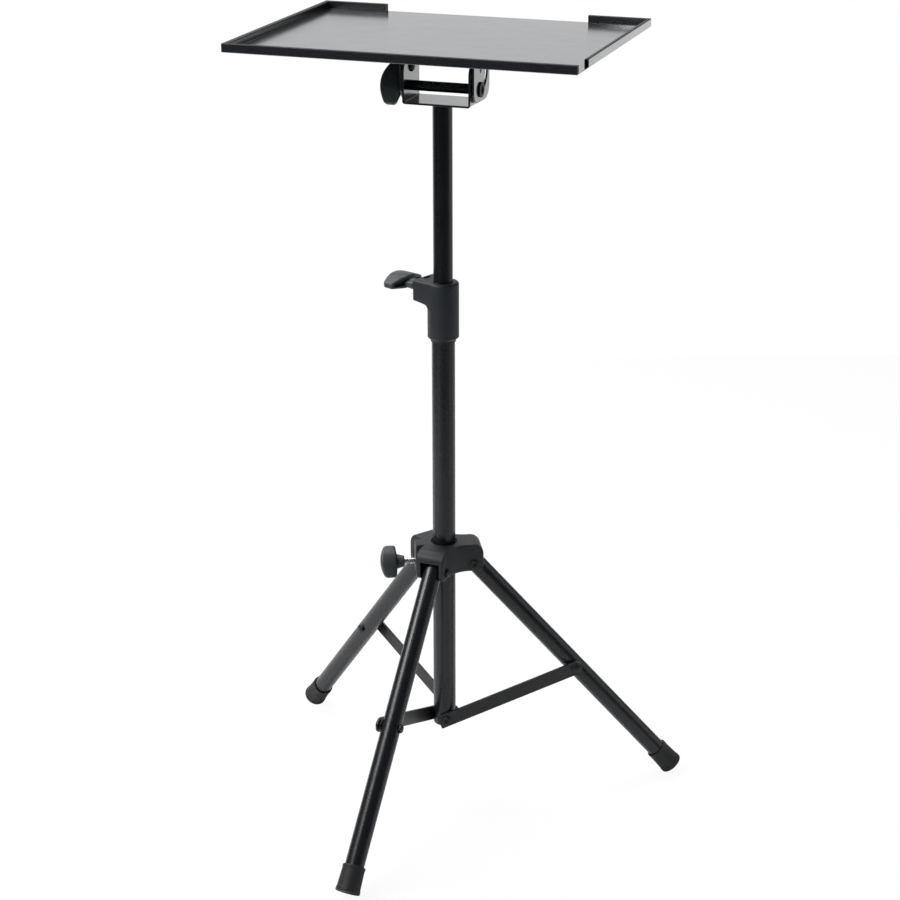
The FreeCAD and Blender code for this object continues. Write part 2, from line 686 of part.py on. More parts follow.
def draw_channel(sketch, half, base, tip, sign):
    """A bent-sheet U: base at one height, ears to the other; sign is 1 where the ears point up."""
    outer = "(bend_radius + sheet_thick)"
    inside = f"({half} - sheet_thick)"
    floor = f"({base} + {sign} * sheet_thick)"
    axis = f"{half} - {outer}"
    level = f"{base} + {sign} * {outer}"
    draw_outline(sketch, [
        (f"-({axis})", base),
        (axis, base),
        (half, level),
        (half, tip),
        (inside, tip),
        (inside, level),
        (axis, floor),
        (f"-({axis})", floor),
        (f"-{inside}", level),
        (f"-{inside}", tip),
        (f"-{half}", tip),
        (f"-{half}", level),
    ], {
        1: (axis, level, sign),
        5: (axis, level, -sign),
        7: (f"-({axis})", level, -sign),
        11: (f"-({axis})", level, sign),
    })


def is_corner(edge, back, height):
    """Whether an edge runs across the sheet at this place, seen from the side."""
    box = edge.BoundBox
    return box.YLength < 0.01 and box.ZLength < 0.01 and abs(box.YMin - back) < 0.01 \
        and abs(box.ZMin - height) < 0.01


def make_tilt_cradle():
    body = new_body("tilt_cradle")
    top = f"({TILT_HEIGHT} + ear_top)"
    channel = new_sketch(body, "XZ_Plane")
    draw_channel(channel, "cradle_half", "cradle_bottom", top, 1)
    pad(body, channel, "cradle_depth", both_ways=True)
    half = size("cradle_depth / 2")
    round_edges(body, "cradle_depth / 4", lambda edge: is_corner(edge, half, size(top))
                or is_corner(edge, -half, size(top)))
    cross_hole(body, "clamp_radius + fit_gap", "0", CLAMP_HEIGHT, "3 * cradle_half", "YZ_Plane")
    cross_hole(body, "rivet_radius + fit_gap", "0", TILT_HEIGHT, "3 * cradle_half", "YZ_Plane")
    body.Placement = Placement(Vector(0, size("cradle_setback"), 0), Rotation())


def make_tray_hanger():
    body = new_body("tray_hanger")
    low = f"({TILT_HEIGHT} - hanger_drop)"
    channel = new_sketch(body, "XZ_Plane", "-hanger_back")
    draw_channel(channel, HANGER_OUTER, TRAY_BOTTOM, low, -1)
    pad(body, channel, "hanger_back + hanger_front")
    round_edges(body, "hanger_corner", lambda edge: is_corner(edge, size("hanger_back"), size(low)))
    round_edges(body, "hanger_toe", lambda edge: is_corner(edge, -size("hanger_front"), size(low)))
    near = f"(tilt_radius - {SLOT_HALF})"
    far = f"(tilt_radius + {SLOT_HALF})"
    slot = new_sketch(body, "YZ_Plane")
    draw_outline(slot, [
        ("0", f"{TILT_HEIGHT} - {near}"),
        ("0", f"{TILT_HEIGHT} - {far}"),
        (f"{far} * sin(tilt_range)", f"{TILT_HEIGHT} - {far} * cos(tilt_range)"),
        (f"{near} * sin(tilt_range)", f"{TILT_HEIGHT} - {near} * cos(tilt_range)"),
    ], {
        0: ("0", CLAMP_HEIGHT, 1),
        1: ("0", TILT_HEIGHT, 1),
        2: ("tilt_radius * sin(tilt_range)", f"{TILT_HEIGHT} - tilt_radius * cos(tilt_range)", 1),
        3: ("0", TILT_HEIGHT, -1),
    })
    pocket(body, slot, f"3 * {HANGER_OUTER}", both_ways=True)
    cross_hole(body, "rivet_radius + fit_gap", "0", TILT_HEIGHT, f"3 * {HANGER_OUTER}", "YZ_Plane")
    body.Placement = Placement(Vector(0, size("cradle_setback"), 0), Rotation())


def make_clamp():
    place = Placement(Vector(0, size("cradle_setback"), size(CLAMP_HEIGHT)), Rotation())
    spacer = new_body("spacer_tube")
    sketch = new_sketch(spacer, "YZ_Plane")
    draw_circle(sketch, "spacer_radius")
    draw_circle(sketch, "clamp_radius + fit_gap")
    pad(spacer, sketch, f"2 * {EAR_INNER}", both_ways=True)
    spacer.Placement = place
    bolt = new_body("clamp_bolt")
    head = f"{HANGER_OUTER} + slide_gap"
    end = f"({HANGER_OUTER} + slide_gap + knob_hole)"
    make_turned(bolt, "XY_Plane", [
        (f"-{end}", "0"),
        (f"-{end}", "clamp_radius"),
        (head, "clamp_radius"),
        (head, "clamp_head_radius"),
        (f"{head} + clamp_head", "clamp_head_radius"),
        (f"{head} + clamp_head", "0"),
    ], axis="H_Axis")
    bolt.Placement = place
    for label, turn in (("pivot_rivet_right", 0), ("pivot_rivet_left", 180)):
        rivet = new_body(label)
        make_turned(rivet, "XY_Plane", [
            (f"{EAR_INNER} - rivet_head", "0"),
            (f"{EAR_INNER} - rivet_head", "rivet_head_radius"),
            (EAR_INNER, "rivet_head_radius"),
            (EAR_INNER, "rivet_radius"),
            (HANGER_OUTER, "rivet_radius"),
            (HANGER_OUTER, "0"),
        ], axis="H_Axis")
        rivet.Placement = Placement(Vector(0, size("cradle_setback"), size(TILT_HEIGHT)),
                                    Rotation(Vector(0, 0, 1), turn))


# Tray

def is_long_edge(edge, height):
    """Whether an edge runs along a rim at this height."""
    box = edge.BoundBox
    return box.ZLength < 0.01 and abs(box.ZMin - height) < 0.01 and edge.Length > size("2 * rim_thick")


def is_rolled_edge(edge):
    return is_long_edge(edge, size(f"{TRAY_BOTTOM} + tray_rim"))


def is_bent_edge(edge):
    """Whether an edge runs along the underside beneath a rim."""
    middle = edge.CenterOfMass
    open_back = middle.y > size("tray_depth / 2 - rim_thick") and abs(middle.x) < size("rim_thick")
    return is_long_edge(edge, size(TRAY_BOTTOM)) and not open_back


def make_tray():
    body = new_body("tray")
    right, back = "tray_width / 2", "tray_depth / 2"
    floor = new_sketch(body, "XY_Plane", TRAY_BOTTOM)
    draw_rectangle(floor, f"-{right}", right, f"-{back}", back)
    pad(body, floor, "tray_thick")
    rim = new_sketch(body, "XY_Plane", TRAY_BOTTOM)
    draw_outline(rim, [
        (f"-{right}", f"-{back}"),
        (right, f"-{back}"),
        (right, f"-{back} + rim_thick"),
        (f"-{right} + rim_thick", f"-{back} + rim_thick"),
        (f"-{right} + rim_thick", f"{back} - rim_thick"),
        (f"-{right} + stub_length", f"{back} - rim_thick"),
        (f"-{right} + stub_length", back),
        (f"-{right}", back),
    ])
    draw_outline(rim, [
        (right, f"-{back} + rim_notch"),
        (right, back),
        (f"{right} - stub_length", back),
        (f"{right} - stub_length", f"{back} - rim_thick"),
        (f"{right} - rim_thick", f"{back} - rim_thick"),
        (f"{right} - rim_thick", f"-{back} + rim_notch"),
    ])
    pad(body, rim, "tray_rim")
    round_edges(body, "rim_round", is_rolled_edge)
    hem = new_sketch(body, "XY_Plane", f"{TRAY_BOTTOM} + tray_thick")
    outer, inner = "hem_wall", "rim_thick - hem_wall"
    draw_rectangle(hem, f"-{right} + rim_thick", f"{right} + slot_gap", f"-{back} + {outer}", f"-{back} + {inner}")
    draw_rectangle(hem, f"{right} - ({inner})", f"{right} - {outer}",
                   f"-{back} + rim_notch - slot_gap", f"{back} - rim_thick")
    draw_rectangle(hem, f"-{right} + rim_thick", f"-{right} + stub_length + slot_gap",
                   f"{back} - ({inner})", f"{back} - {outer}")
    draw_rectangle(hem, f"{right} - stub_length - slot_gap", f"{right} - rim_thick",
                   f"{back} - ({inner})", f"{back} - {outer}")
    pocket(body, hem, "tray_rim - tray_thick - hem_wall", backwards=True)
    round_edges(body, "rim_bend", is_bent_edge)


make_column_tube()
make_column_plug()
make_height_collar()
make_collar_nut()
collar_screw_place = screw_place(size("collar_heading"), size(COLLAR_KNOB_HEIGHT), size("collar_knob_roll"))
make_knob("collar_knob", "collar_knob_span", "knob_slant", "collar_knob_start", "knob_stem", collar_screw_place)
make_screw("collar_screw", "mast_radius + slide_gap + screw_tip", "collar_knob_start + knob_hole",
           collar_screw_place)
make_leg_hub()
hub_screw_place = screw_place(size("leg_heading") + 180, size(HUB_KNOB_HEIGHT), size("hub_knob_roll"))
make_knob("hub_knob", "hub_knob_span", "hub_knob_slant", "hub_knob_start", "knob_stem", hub_screw_place)
make_screw("hub_screw", "column_radius + slide_gap + screw_tip", "hub_knob_start + knob_hole",
           hub_screw_place)
for leg_number, leg_name in enumerate(LEGS):
    make_hub_bolt(leg_number, leg_name)
    make_leg_tube(leg_number, leg_name)
    make_foot(leg_number, leg_name)
    make_leg_bolt(leg_number, leg_name)
    make_brace(leg_number, leg_name)
    make_brace_screw(leg_number, leg_name)
    make_brace_rivet(leg_number, leg_name)
make_mast()
make_tilt_cradle()
make_tray_hanger()
make_clamp()
tilt_knob_place = Placement(Vector(0, size("cradle_setback"), size(CLAMP_HEIGHT)), Rotation(Vector(0, 0, 1), 180)) \
    * Placement(Vector(), Rotation(Vector(1, 0, 0), size("tilt_knob_roll")))
make_knob("tilt_knob", "tilt_knob_span", "knob_slant", f"{HANGER_OUTER} + slide_gap", "tilt_knob_stem",
          tilt_knob_place)
make_tray()

doc.recompute()
for item in doc.Objects:
    if "Invalid" in item.State or "Error" in item.State:
        raise ValueError(f"{item.Name} failed: {item.State}")
for piece in parts:
    if piece.Shape.isNull() or not piece.Shape.isValid() or len(piece.Shape.Solids) != 1:
        raise ValueError(f"{piece.Label} is not one valid solid")

os.makedirs("parts", exist_ok=True)
for piece in parts:
    piece.Shape.exportStep(f"parts/{piece.Label}.step")

folded_run = size("hub_pivot_radius + brace_station * sin(leg_folded)")
folded_rise = math.sqrt(size(BRACE_LENGTH) ** 2 - folded_run ** 2)
hub_travel = size("brace_height") + folded_rise + size("brace_station * cos(leg_folded)") - size(HUB_PIVOT_HEIGHT)
open_slope = math.atan2(size(BRACE_RISE), size(BRACE_RUN))
brace_swing = math.atan2(folded_rise, folded_run) - open_slope
print(f"{len(parts)} pieces; leg pivot height {size(HUB_PIVOT_HEIGHT):.3f}, brace length {size(BRACE_LENGTH):.3f}")
print(f"hub travel {hub_travel:.3f} mm, leg fold {size('leg_splay - leg_folded'):.3f} deg, "
      f"brace swing {math.degrees(brace_swing):.3f} deg")
print(f"clamp height {size(CLAMP_HEIGHT):.2f}, tilt height {size(TILT_HEIGHT):.2f}, hub top {size(HUB_TOP):.2f}")
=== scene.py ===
# %% [markdown]
# # A tripod shelf stand
# The stand has a folding base of three tube legs, a telescopic column and a sheet-metal tray that tilts.
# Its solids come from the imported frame, in metres, with the floor at zero height and +Z up. The lesson sets
# the stage, mixes the finishes, and then dresses one piece after another in the shapes that the real one has.

# %% Load the frame
import json
import math

import bmesh
import bpy
from mathutils import Matrix, Vector


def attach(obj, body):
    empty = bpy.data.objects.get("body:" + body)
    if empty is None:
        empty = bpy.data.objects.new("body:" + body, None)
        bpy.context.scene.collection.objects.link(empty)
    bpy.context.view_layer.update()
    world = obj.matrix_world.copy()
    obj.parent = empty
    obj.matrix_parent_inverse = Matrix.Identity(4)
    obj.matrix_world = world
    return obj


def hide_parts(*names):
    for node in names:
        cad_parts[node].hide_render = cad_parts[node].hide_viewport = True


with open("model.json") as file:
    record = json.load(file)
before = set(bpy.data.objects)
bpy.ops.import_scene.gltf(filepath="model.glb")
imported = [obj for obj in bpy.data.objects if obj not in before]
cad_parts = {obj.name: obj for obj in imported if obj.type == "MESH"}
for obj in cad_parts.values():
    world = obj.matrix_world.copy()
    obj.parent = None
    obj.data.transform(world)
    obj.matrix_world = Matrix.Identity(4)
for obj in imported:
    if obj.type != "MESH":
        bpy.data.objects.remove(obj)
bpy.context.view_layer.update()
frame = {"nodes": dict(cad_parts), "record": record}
nodes = frame["nodes"]

# %% [markdown]
# ## The camera
# The photograph was taken from a little above the tray, about 2.7 m away, through a long lens. The column's
# two edges, the legs and the tray's rims fix the distance, the lens and the tilt, so the numbers below are a
# fit and not a guess. A camera looks down its own -Z, so it is turned up to the horizon, tipped down, and
# then swung round.

# %% Camera
CAMERA_PLACE = (0.9144, -2.5822, 1.5264)
CAMERA_SWING = 19.33
CAMERA_DOWN = 20.62
CAMERA_ROLL = -0.16
CAMERA_LENS = 89.49
CAMERA_SENSOR = 36
CAMERA_NEAR = 0.05


def turned(degrees, axis):
    """A turn about X, Y or Z."""
    return Matrix.Rotation(math.radians(degrees), 4, axis)


def shifted(x, y, z):
    """A shift along the three axes."""
    return Matrix.Translation((x, y, z))


bpy.ops.object.select_all(action="DESELECT")
bpy.ops.object.camera_add()
camera = bpy.context.object
camera.name = "camera"
camera.data.lens = CAMERA_LENS
camera.data.sensor_width = CAMERA_SENSOR
camera.data.clip_start = CAMERA_NEAR
camera.matrix_world = (
    shifted(*CAMERA_PLACE)
    @ turned(CAMERA_SWING, "Z")
    @ turned(90 - CAMERA_DOWN, "X")
    @ turned(CAMERA_ROLL, "Z")
)
bpy.context.scene.camera = camera
bpy.context.scene.view_settings.view_transform = "Standard"
print("camera", tuple(round(x, 3) for x in camera.location))

# %% [markdown]
# ## The studio
# Black paint shows mostly what it reflects. In the photograph the tray, the bracket and the edges of the
# tubes reflect a bright white sweep behind the stand, and everything that faces the camera shows a dim,
# bluish room. The sweep is wide and bright low down and narrower above, and it fades into the room. The white
# paper underneath ends in front of the stand and behind it, and reaches further on the right, where a dim
# softbox lights the right edges of the collar and the tubes. The camera itself sees plain white all round,
# and a faint shadow on the paper.

# %% World
BACKDROP = 1.0
ROOM_DIM = 0.10
ROOM_TINT = (0.84, 0.96, 1.08, 1.0)
SWEEP_WAY = (-0.334, 0.943, 0.0)
SWEEP_LOW = 1.30
SWEEP_LOW_EDGES = (0.35, 0.75)
SWEEP_HIGH = 0.88
SWEEP_HIGH_EDGES = (0.78, 0.90)
HORIZON_EDGES = (-0.10, 0.03)


def add_node(tree, kind, **values):
    """A new node with some of its settings."""
    node = tree.nodes.new(kind)
    for name, value in values.items():
        setattr(node, name, value)
    return node


def join(tree, source, target):
    """Links an output to an input."""
    tree.links.new(source, target)


def ramp(tree, edges=(0.0, 1.0), low=0.0, high=1.0, kind="LINEAR"):
    """A node that carries a value between two edges over to low and high."""
    node = add_node(tree, "ShaderNodeMapRange", interpolation_type=kind)
    node.inputs["From Min"].default_value = edges[0]
    node.inputs["From Max"].default_value = edges[1]
    node.inputs["To Min"].default_value = low
    node.inputs["To Max"].default_value = high
    return node


world = bpy.data.worlds.new("studio")
bpy.context.scene.world = world
world.use_nodes = True
sky = world.node_tree
sky.nodes.clear()
direction = add_node(sky, "ShaderNodeTexCoord")
facing = add_node(sky, "ShaderNodeVectorMath", operation="DOT_PRODUCT")
facing.inputs[1].default_value = SWEEP_WAY
low_sweep = ramp(sky, SWEEP_LOW_EDGES, high=SWEEP_LOW, kind="SMOOTHSTEP")
high_sweep = ramp(sky, SWEEP_HIGH_EDGES, high=SWEEP_HIGH, kind="SMOOTHSTEP")
rise = add_node(sky, "ShaderNodeSeparateXYZ")
level = ramp(sky, HORIZON_EDGES, kind="SMOOTHSTEP")
glare = add_node(sky, "ShaderNodeMix", data_type="FLOAT")
sweep = add_node(sky, "ShaderNodeBackground")
room = add_node(sky, "ShaderNodeBackground")
room.inputs["Color"].default_value = ROOM_TINT
room.inputs["Strength"].default_value = ROOM_DIM
both = add_node(sky, "ShaderNodeAddShader")
white = add_node(sky, "ShaderNodeBackground")
white.inputs["Color"].default_value = (BACKDROP, BACKDROP, BACKDROP, 1.0)
rays = add_node(sky, "ShaderNodeLightPath")
pick_sky = add_node(sky, "ShaderNodeMixShader")
sky_out = add_node(sky, "ShaderNodeOutputWorld")
join(sky, direction.outputs["Generated"], facing.inputs[0])
join(sky, direction.outputs["Generated"], rise.inputs["Vector"])
join(sky, facing.outputs["Value"], low_sweep.inputs["Value"])
join(sky, facing.outputs["Value"], high_sweep.inputs["Value"])
join(sky, rise.outputs["Z"], level.inputs["Value"])
join(sky, level.outputs["Result"], glare.inputs["Factor"])
join(sky, low_sweep.outputs["Result"], glare.inputs["A"])
join(sky, high_sweep.outputs["Result"], glare.inputs["B"])
join(sky, glare.outputs["Result"], sweep.inputs["Strength"])
join(sky, sweep.outputs["Background"], both.inputs[0])
join(sky, room.outputs["Background"], both.inputs[1])
join(sky, rays.outputs["Is Camera Ray"], pick_sky.inputs["Fac"])
join(sky, both.outputs["Shader"], pick_sky.inputs[1])
join(sky, white.outputs["Background"], pick_sky.inputs[2])
join(sky, pick_sky.outputs["Shader"], sky_out.inputs["Surface"])
print("sky from", ROOM_DIM, "to", SWEEP_LOW)

# %% Floor
PAPER_WIDE = 3.6
PAPER_DEEP = 3.2
PAPER_MIDDLE = (0.30, 0.30, 0)
PAPER_GREY = (0.85, 0.85, 0.85, 1.0)
FLOOR_GLOW = 0.9
GLOW_WHITE = (1.0, 1.0, 1.0, 1.0)
GLOW_POWER = 1.035

bpy.ops.object.select_all(action="DESELECT")
bpy.ops.mesh.primitive_plane_add(size=1, location=PAPER_MIDDLE)
floor = bpy.context.object
floor.name = "floor"
floor.scale = (PAPER_WIDE, PAPER_DEEP, 1)
bpy.ops.object.transform_apply(location=True, rotation=True, scale=True)
floor.rotation_euler = (0, 0, math.radians(CAMERA_SWING))
bpy.ops.object.transform_apply(location=True, rotation=True, scale=True)
floor_paint = bpy.data.materials.new("floor_white")
floor_paint.use_nodes = True
tree = floor_paint.node_tree
tree.nodes.clear()
matte = add_node(tree, "ShaderNodeBsdfDiffuse")
matte.inputs["Color"].default_value = PAPER_GREY
glow = add_node(tree, "ShaderNodeEmission")
glow.inputs["Color"].default_value = GLOW_WHITE
glow.inputs["Strength"].default_value = GLOW_POWER
floor_rays = add_node(tree, "ShaderNodeLightPath")
part_glow = add_node(tree, "ShaderNodeMath", operation="MULTIPLY")
part_glow.inputs[1].default_value = FLOOR_GLOW
floor_mix = add_node(tree, "ShaderNodeMixShader")
floor_out = add_node(tree, "ShaderNodeOutputMaterial")
join(tree, floor_rays.outputs["Is Camera Ray"], part_glow.inputs[0])
join(tree, part_glow.outputs["Value"], floor_mix.inputs["Fac"])
join(tree, matte.outputs["BSDF"], floor_mix.inputs[1])
join(tree, glow.outputs["Emission"], floor_mix.inputs[2])
join(tree, floor_mix.outputs["Shader"], floor_out.inputs["Surface"])
floor.data.materials.append(floor_paint)
print("paper", PAPER_WIDE, "by", PAPER_DEEP, "m")

# %% Softboxes


def softbox(name, place, target, width, height, watts):
    """A rectangular lamp that faces a point."""
    bpy.ops.object.select_all(action="DESELECT")
    bpy.ops.object.light_add(type="AREA", location=place)
    lamp = bpy.context.object
    lamp.name = name
    lamp.data.shape = "RECTANGLE"
    lamp.data.size = width
    lamp.data.size_y = height
    lamp.data.energy = watts
    look = Vector(target) - Vector(place)
    lamp.rotation_euler = look.to_track_quat("-Z", "Y").to_euler()
    print(name, watts, "W")


softbox("lamp_key", (-1.26, -1.07, 1.94), (0, -0.1, 0.3), width=2.0, height=0.6, watts=40)
softbox("lamp_left", (-1.8, 0.9, 2.6), (0, 0, 0.3), width=1.2, height=1.2, watts=24)
softbox("lamp_top", (-0.4, 0.9, 3.0), (0, 0, 0.6), width=1.2, height=1.2, watts=40)
softbox("lamp_right", (1.7, 0.75, 0.8), (0, 0, 0.6), width=1.4, height=1.4, watts=4)

# %% [markdown]
# ## Finishes
# All but the hub's bright screw is black, so the finishes differ in gloss and grain. Powder coat on the
# tubes has a fine orange-peel skin, and the sliding tube is polished by its collar. The sliding tube's black
# is darker than the column's, partly its own and partly painted shade for the lesser light from the paper
# that reaches it higher up. The tray and bracket have a harder, glossier coat over the black, which is why
# they turn pale at a low angle. The moulded collar, hub and knobs have a spark-eroded grain that scatters
# light. Rubber is duller still. Long faint scuffs and slow changes of gloss break up each one. The tops of
# the tray's rims are rubbed dull, so they stay dark where the tray's floor turns pale.

# %% Finish helper
SHADE_SCALE = 38
SHADE_DETAIL = 4
SCUFF_SCALE = 160
SCUFF_DETAIL = 6
SCUFF_EDGES = (0.62, 0.78)
SKIN_DETAIL = 3
SKIN_DEPTH = 0.0004


def noise(tree, scale, detail):
    """A noise texture of so many cells a metre."""
    node = add_node(tree, "ShaderNodeTexNoise")
    node.inputs["Scale"].default_value = scale
    node.inputs["Detail"].default_value = detail
    return node


def finish(name, colour, rough, grain, bump, metallic=0.0, tint=0.15, uneven=0.05, coat=0.0, coat_rough=0.2,
           scuff=0.06, along=(1.0, 1.0, 0.08)):
    """A finish: fine skin (grain, in cells a metre), slow changes of shade and gloss, scuffs along a way."""
    material = bpy.data.materials.new(name)
    material.use_nodes = True
    tree = material.node_tree
    shader = tree.nodes["Principled BSDF"]
    shader.inputs["Metallic"].default_value = metallic
    shader.inputs["Coat Weight"].default_value = coat
    shader.inputs["Coat Roughness"].default_value = coat_rough
    place = add_node(tree, "ShaderNodeTexCoord")
    slow = noise(tree, SHADE_SCALE, SHADE_DETAIL)
    stretch = add_node(tree, "ShaderNodeMapping")
    stretch.inputs["Scale"].default_value = along
    rub = noise(tree, SCUFF_SCALE, SCUFF_DETAIL)
    worn = ramp(tree, SCUFF_EDGES, high=scuff)
    shade = ramp(tree, low=1 - tint, high=1 + tint)
    paint = add_node(tree, "ShaderNodeVectorMath", operation="SCALE")
    paint.inputs[0].default_value = colour
    gloss = ramp(tree, low=rough - uneven, high=rough + uneven)
    dull = add_node(tree, "ShaderNodeMath", operation="ADD")
    skin = noise(tree, grain, SKIN_DETAIL)
    relief = add_node(tree, "ShaderNodeBump")
    relief.inputs["Strength"].default_value = bump
    relief.inputs["Distance"].default_value = SKIN_DEPTH
    join(tree, place.outputs["Object"], slow.inputs["Vector"])
    join(tree, place.outputs["Object"], skin.inputs["Vector"])
    join(tree, place.outputs["Object"], stretch.inputs["Vector"])
    join(tree, stretch.outputs["Vector"], rub.inputs["Vector"])
    join(tree, rub.outputs["Fac"], worn.inputs["Value"])
    join(tree, slow.outputs["Fac"], shade.inputs["Value"])
    join(tree, slow.outputs["Fac"], gloss.inputs["Value"])
    join(tree, shade.outputs["Result"], paint.inputs["Scale"])
    join(tree, paint.outputs["Vector"], shader.inputs["Base Color"])
    join(tree, gloss.outputs["Result"], dull.inputs[0])
    join(tree, worn.outputs["Result"], dull.inputs[1])
    join(tree, dull.outputs["Value"], shader.inputs["Roughness"])
    join(tree, skin.outputs["Fac"], relief.inputs["Height"])
    join(tree, relief.outputs["Normal"], shader.inputs["Normal"])
    return material


# %% Finishes
SHEET_BLACK = (0.010, 0.0110, 0.0126)
LOOKS = {
    "tube_paint": dict(colour=(0.0085, 0.0098, 0.0118), rough=0.27, grain=900, bump=0.006, scuff=0.02),
    # The mast's finish is a darker black than the tubes', partly its own and partly painted shade.
    "mast_paint_and_shade": dict(colour=(0.0036, 0.0041, 0.0050), rough=0.28, grain=900, bump=0.02, scuff=0.12),
    "brace_paint": dict(colour=(0.013, 0.0140, 0.0152), rough=0.40, grain=900, bump=0.10,
                        along=(0.08, 0.08, 1.0)),
    "bracket_paint": dict(colour=SHEET_BLACK, rough=0.22, grain=900, bump=0.05, coat=0.85, coat_rough=0.14),
    "tray_paint": dict(colour=SHEET_BLACK, rough=0.24, grain=1100, bump=0.05, coat=1.0, coat_rough=0.16,
                       along=(0.08, 1.0, 1.0)),
    "collar_plastic": dict(colour=(0.0130, 0.0160, 0.0195), rough=0.52, grain=1600, bump=0.16),
    "knob_plastic": dict(colour=(0.046, 0.0530, 0.0560), rough=0.44, grain=1600, bump=0.15),
    "foot_rubber": dict(colour=(0.012, 0.0125, 0.0135), rough=0.60, grain=1300, bump=0.25),
    "zinc_steel": dict(colour=(0.62, 0.63, 0.64), rough=0.26, grain=700, bump=0.08, metallic=1.0, tint=0.06),
    "black_steel": dict(colour=(0.0060, 0.0066, 0.0076), rough=0.50, grain=700, bump=0.08),
}

finishes = {name: finish(name, **look) for name, look in LOOKS.items()}
print(len(finishes), "finishes")

# %% Dull tops of the rims
RIM_LOW = 1.0426
RIM_DULL = 0.40

tree = finishes["tray_paint"].node_tree
shader = tree.nodes["Principled BSDF"]
floor_gloss = shader.inputs["Roughness"].links[0].from_socket
place = add_node(tree, "ShaderNodeTexCoord")
parts = add_node(tree, "ShaderNodeSeparateXYZ")
rubbed = add_node(tree, "ShaderNodeMath", operation="GREATER_THAN")
rubbed.inputs[1].default_value = RIM_LOW
rougher = add_node(tree, "ShaderNodeMath", operation="MULTIPLY_ADD")
rougher.inputs[1].default_value = RIM_DULL
coated = add_node(tree, "ShaderNodeMath", operation="SUBTRACT")
coated.inputs[0].default_value = LOOKS["tray_paint"]["coat"]
join(tree, place.outputs["Object"], parts.inputs["Vector"])
join(tree, parts.outputs["Z"], rubbed.inputs[0])
join(tree, rubbed.outputs["Value"], rougher.inputs[0])
join(tree, floor_gloss, rougher.inputs[2])
join(tree, rougher.outputs["Value"], shader.inputs["Roughness"])
join(tree, rubbed.outputs["Value"], coated.inputs[1])
join(tree, coated.outputs["Value"], shader.inputs["Coat Weight"])
print("rims dulled above", RIM_LOW)

# %% Finishes on the frame's nodes
# The mast takes the darker black, which is partly painted shade; the spacer takes the tubes' paint.
OTHER_FINISH = {"mast_tube": "mast_paint_and_shade", "spacer_tube": "tube_paint"}

slot_of = {}
for subpart in frame["record"]["subparts"]:
    node = subpart["node"]
    slot_of[node] = subpart["material_slot"]
    for slot in nodes[node].material_slots:
        slot.material = finishes[OTHER_FINISH.get(node, slot_of[node])]
print(len(slot_of), "nodes painted")

# %% [markdown]
# ## Working in edit mode
# The next steps model by hand, in code: a primitive is added at its size, then faces and edges are chosen by
# where they lie and pushed about with the edit-mode operators. These helpers keep one piece selected, choose
# its parts, and at the end lay it in place, ride it on its body and let it stand for its solid.

# %% Helpers for modelling
SAME = 1e-6
NEAR = 1e-5


def pick(*pieces):
    """Selects these pieces alone; the first is active."""
    bpy.ops.object.select_all(action="DESELECT")
    for piece in pieces:
        piece.select_set(True)
    bpy.context.view_layer.objects.active = pieces[0]


def edit(piece):
    """Opens a piece in edit mode with all of it selected."""
    pick(piece)
    bpy.ops.object.mode_set(mode="EDIT")
    bpy.ops.mesh.select_mode(type="FACE")
    bpy.ops.mesh.select_all(action="SELECT")


def choose(piece, kind, test):
    """In edit mode, selects the verts, edges or faces for which the test holds."""
    bpy.ops.mesh.select_mode(type={"verts": "VERT", "edges": "EDGE", "faces": "FACE"}[kind])
    bpy.ops.mesh.select_all(action="DESELECT")
    shape = bmesh.from_edit_mesh(piece.data)
    found = [item for item in getattr(shape, kind) if test(item)]
    for item in found:
        item.select_set(True)
    shape.select_flush_mode()
    bmesh.update_edit_mesh(piece.data)
    return len(found)


def close(piece, smooth):
    """Leaves edit mode, points the normals outwards and shades smooth up to an angle."""
    bpy.ops.mesh.select_all(action="SELECT")
    bpy.ops.mesh.normals_make_consistent(inside=False)
    bpy.ops.object.mode_set(mode="OBJECT")
    pick(piece)
    bpy.ops.object.shade_smooth_by_angle(angle=math.radians(smooth))


def cut(point, way, keep_far=False):
    """In edit mode, slices all of the piece with a plane and throws away the side that the way points to."""
    bpy.ops.mesh.select_all(action="SELECT")
    bpy.ops.mesh.bisect(plane_co=point, plane_no=way, use_fill=not keep_far, clear_outer=not keep_far,
                        threshold=SAME)


def push(x, y, z):
    """In edit mode, extrudes the chosen faces along a way."""
    bpy.ops.mesh.extrude_region_move(TRANSFORM_OT_translate={"value": (x, y, z)})


def drum(vertices, radius, height, place, turn=(0, 0, 0)):
    """A cylinder, laid in its place."""
    bpy.ops.object.select_all(action="DESELECT")
    bpy.ops.mesh.primitive_cylinder_add(vertices=vertices, radius=radius, depth=height, location=place,
                                        rotation=turn)
    bpy.ops.object.transform_apply(location=True, rotation=True, scale=True)
    return bpy.context.object


def half_ball(segments, radius, seat, squash):
    """The upper half of a ball on a seat, squashed towards it, left in edit mode."""
    bpy.ops.object.select_all(action="DESELECT")
    bpy.ops.mesh.primitive_uv_sphere_add(segments=segments, ring_count=segments // 2, radius=radius,
                                         location=(0, 0, seat))
    bpy.ops.object.transform_apply(location=True, rotation=True, scale=True)
    ball = bpy.context.object
    edit(ball)
    cut((0, 0, seat), (0, 0, -1))
    choose(ball, "verts", lambda vert: True)
    bpy.ops.transform.resize(value=(1, 1, squash), center_override=(0, 0, seat))
    return ball


def bevelled(piece, width, segments, angle, smooth):
    """Rounds all edges sharper than the angle and shades smooth up to another."""
    bevel = piece.modifiers.new("soft_edge", "BEVEL")
    bevel.limit_method = "ANGLE"
    bevel.angle_limit = math.radians(angle)
    bevel.width = width
    bevel.segments = segments
    bpy.ops.object.modifier_apply(modifier="soft_edge")
    bpy.ops.object.shade_smooth_by_angle(angle=math.radians(smooth))


def middle(edge):
    """The point half way along an edge."""
    return (edge.verts[0].co + edge.verts[1].co) / 2


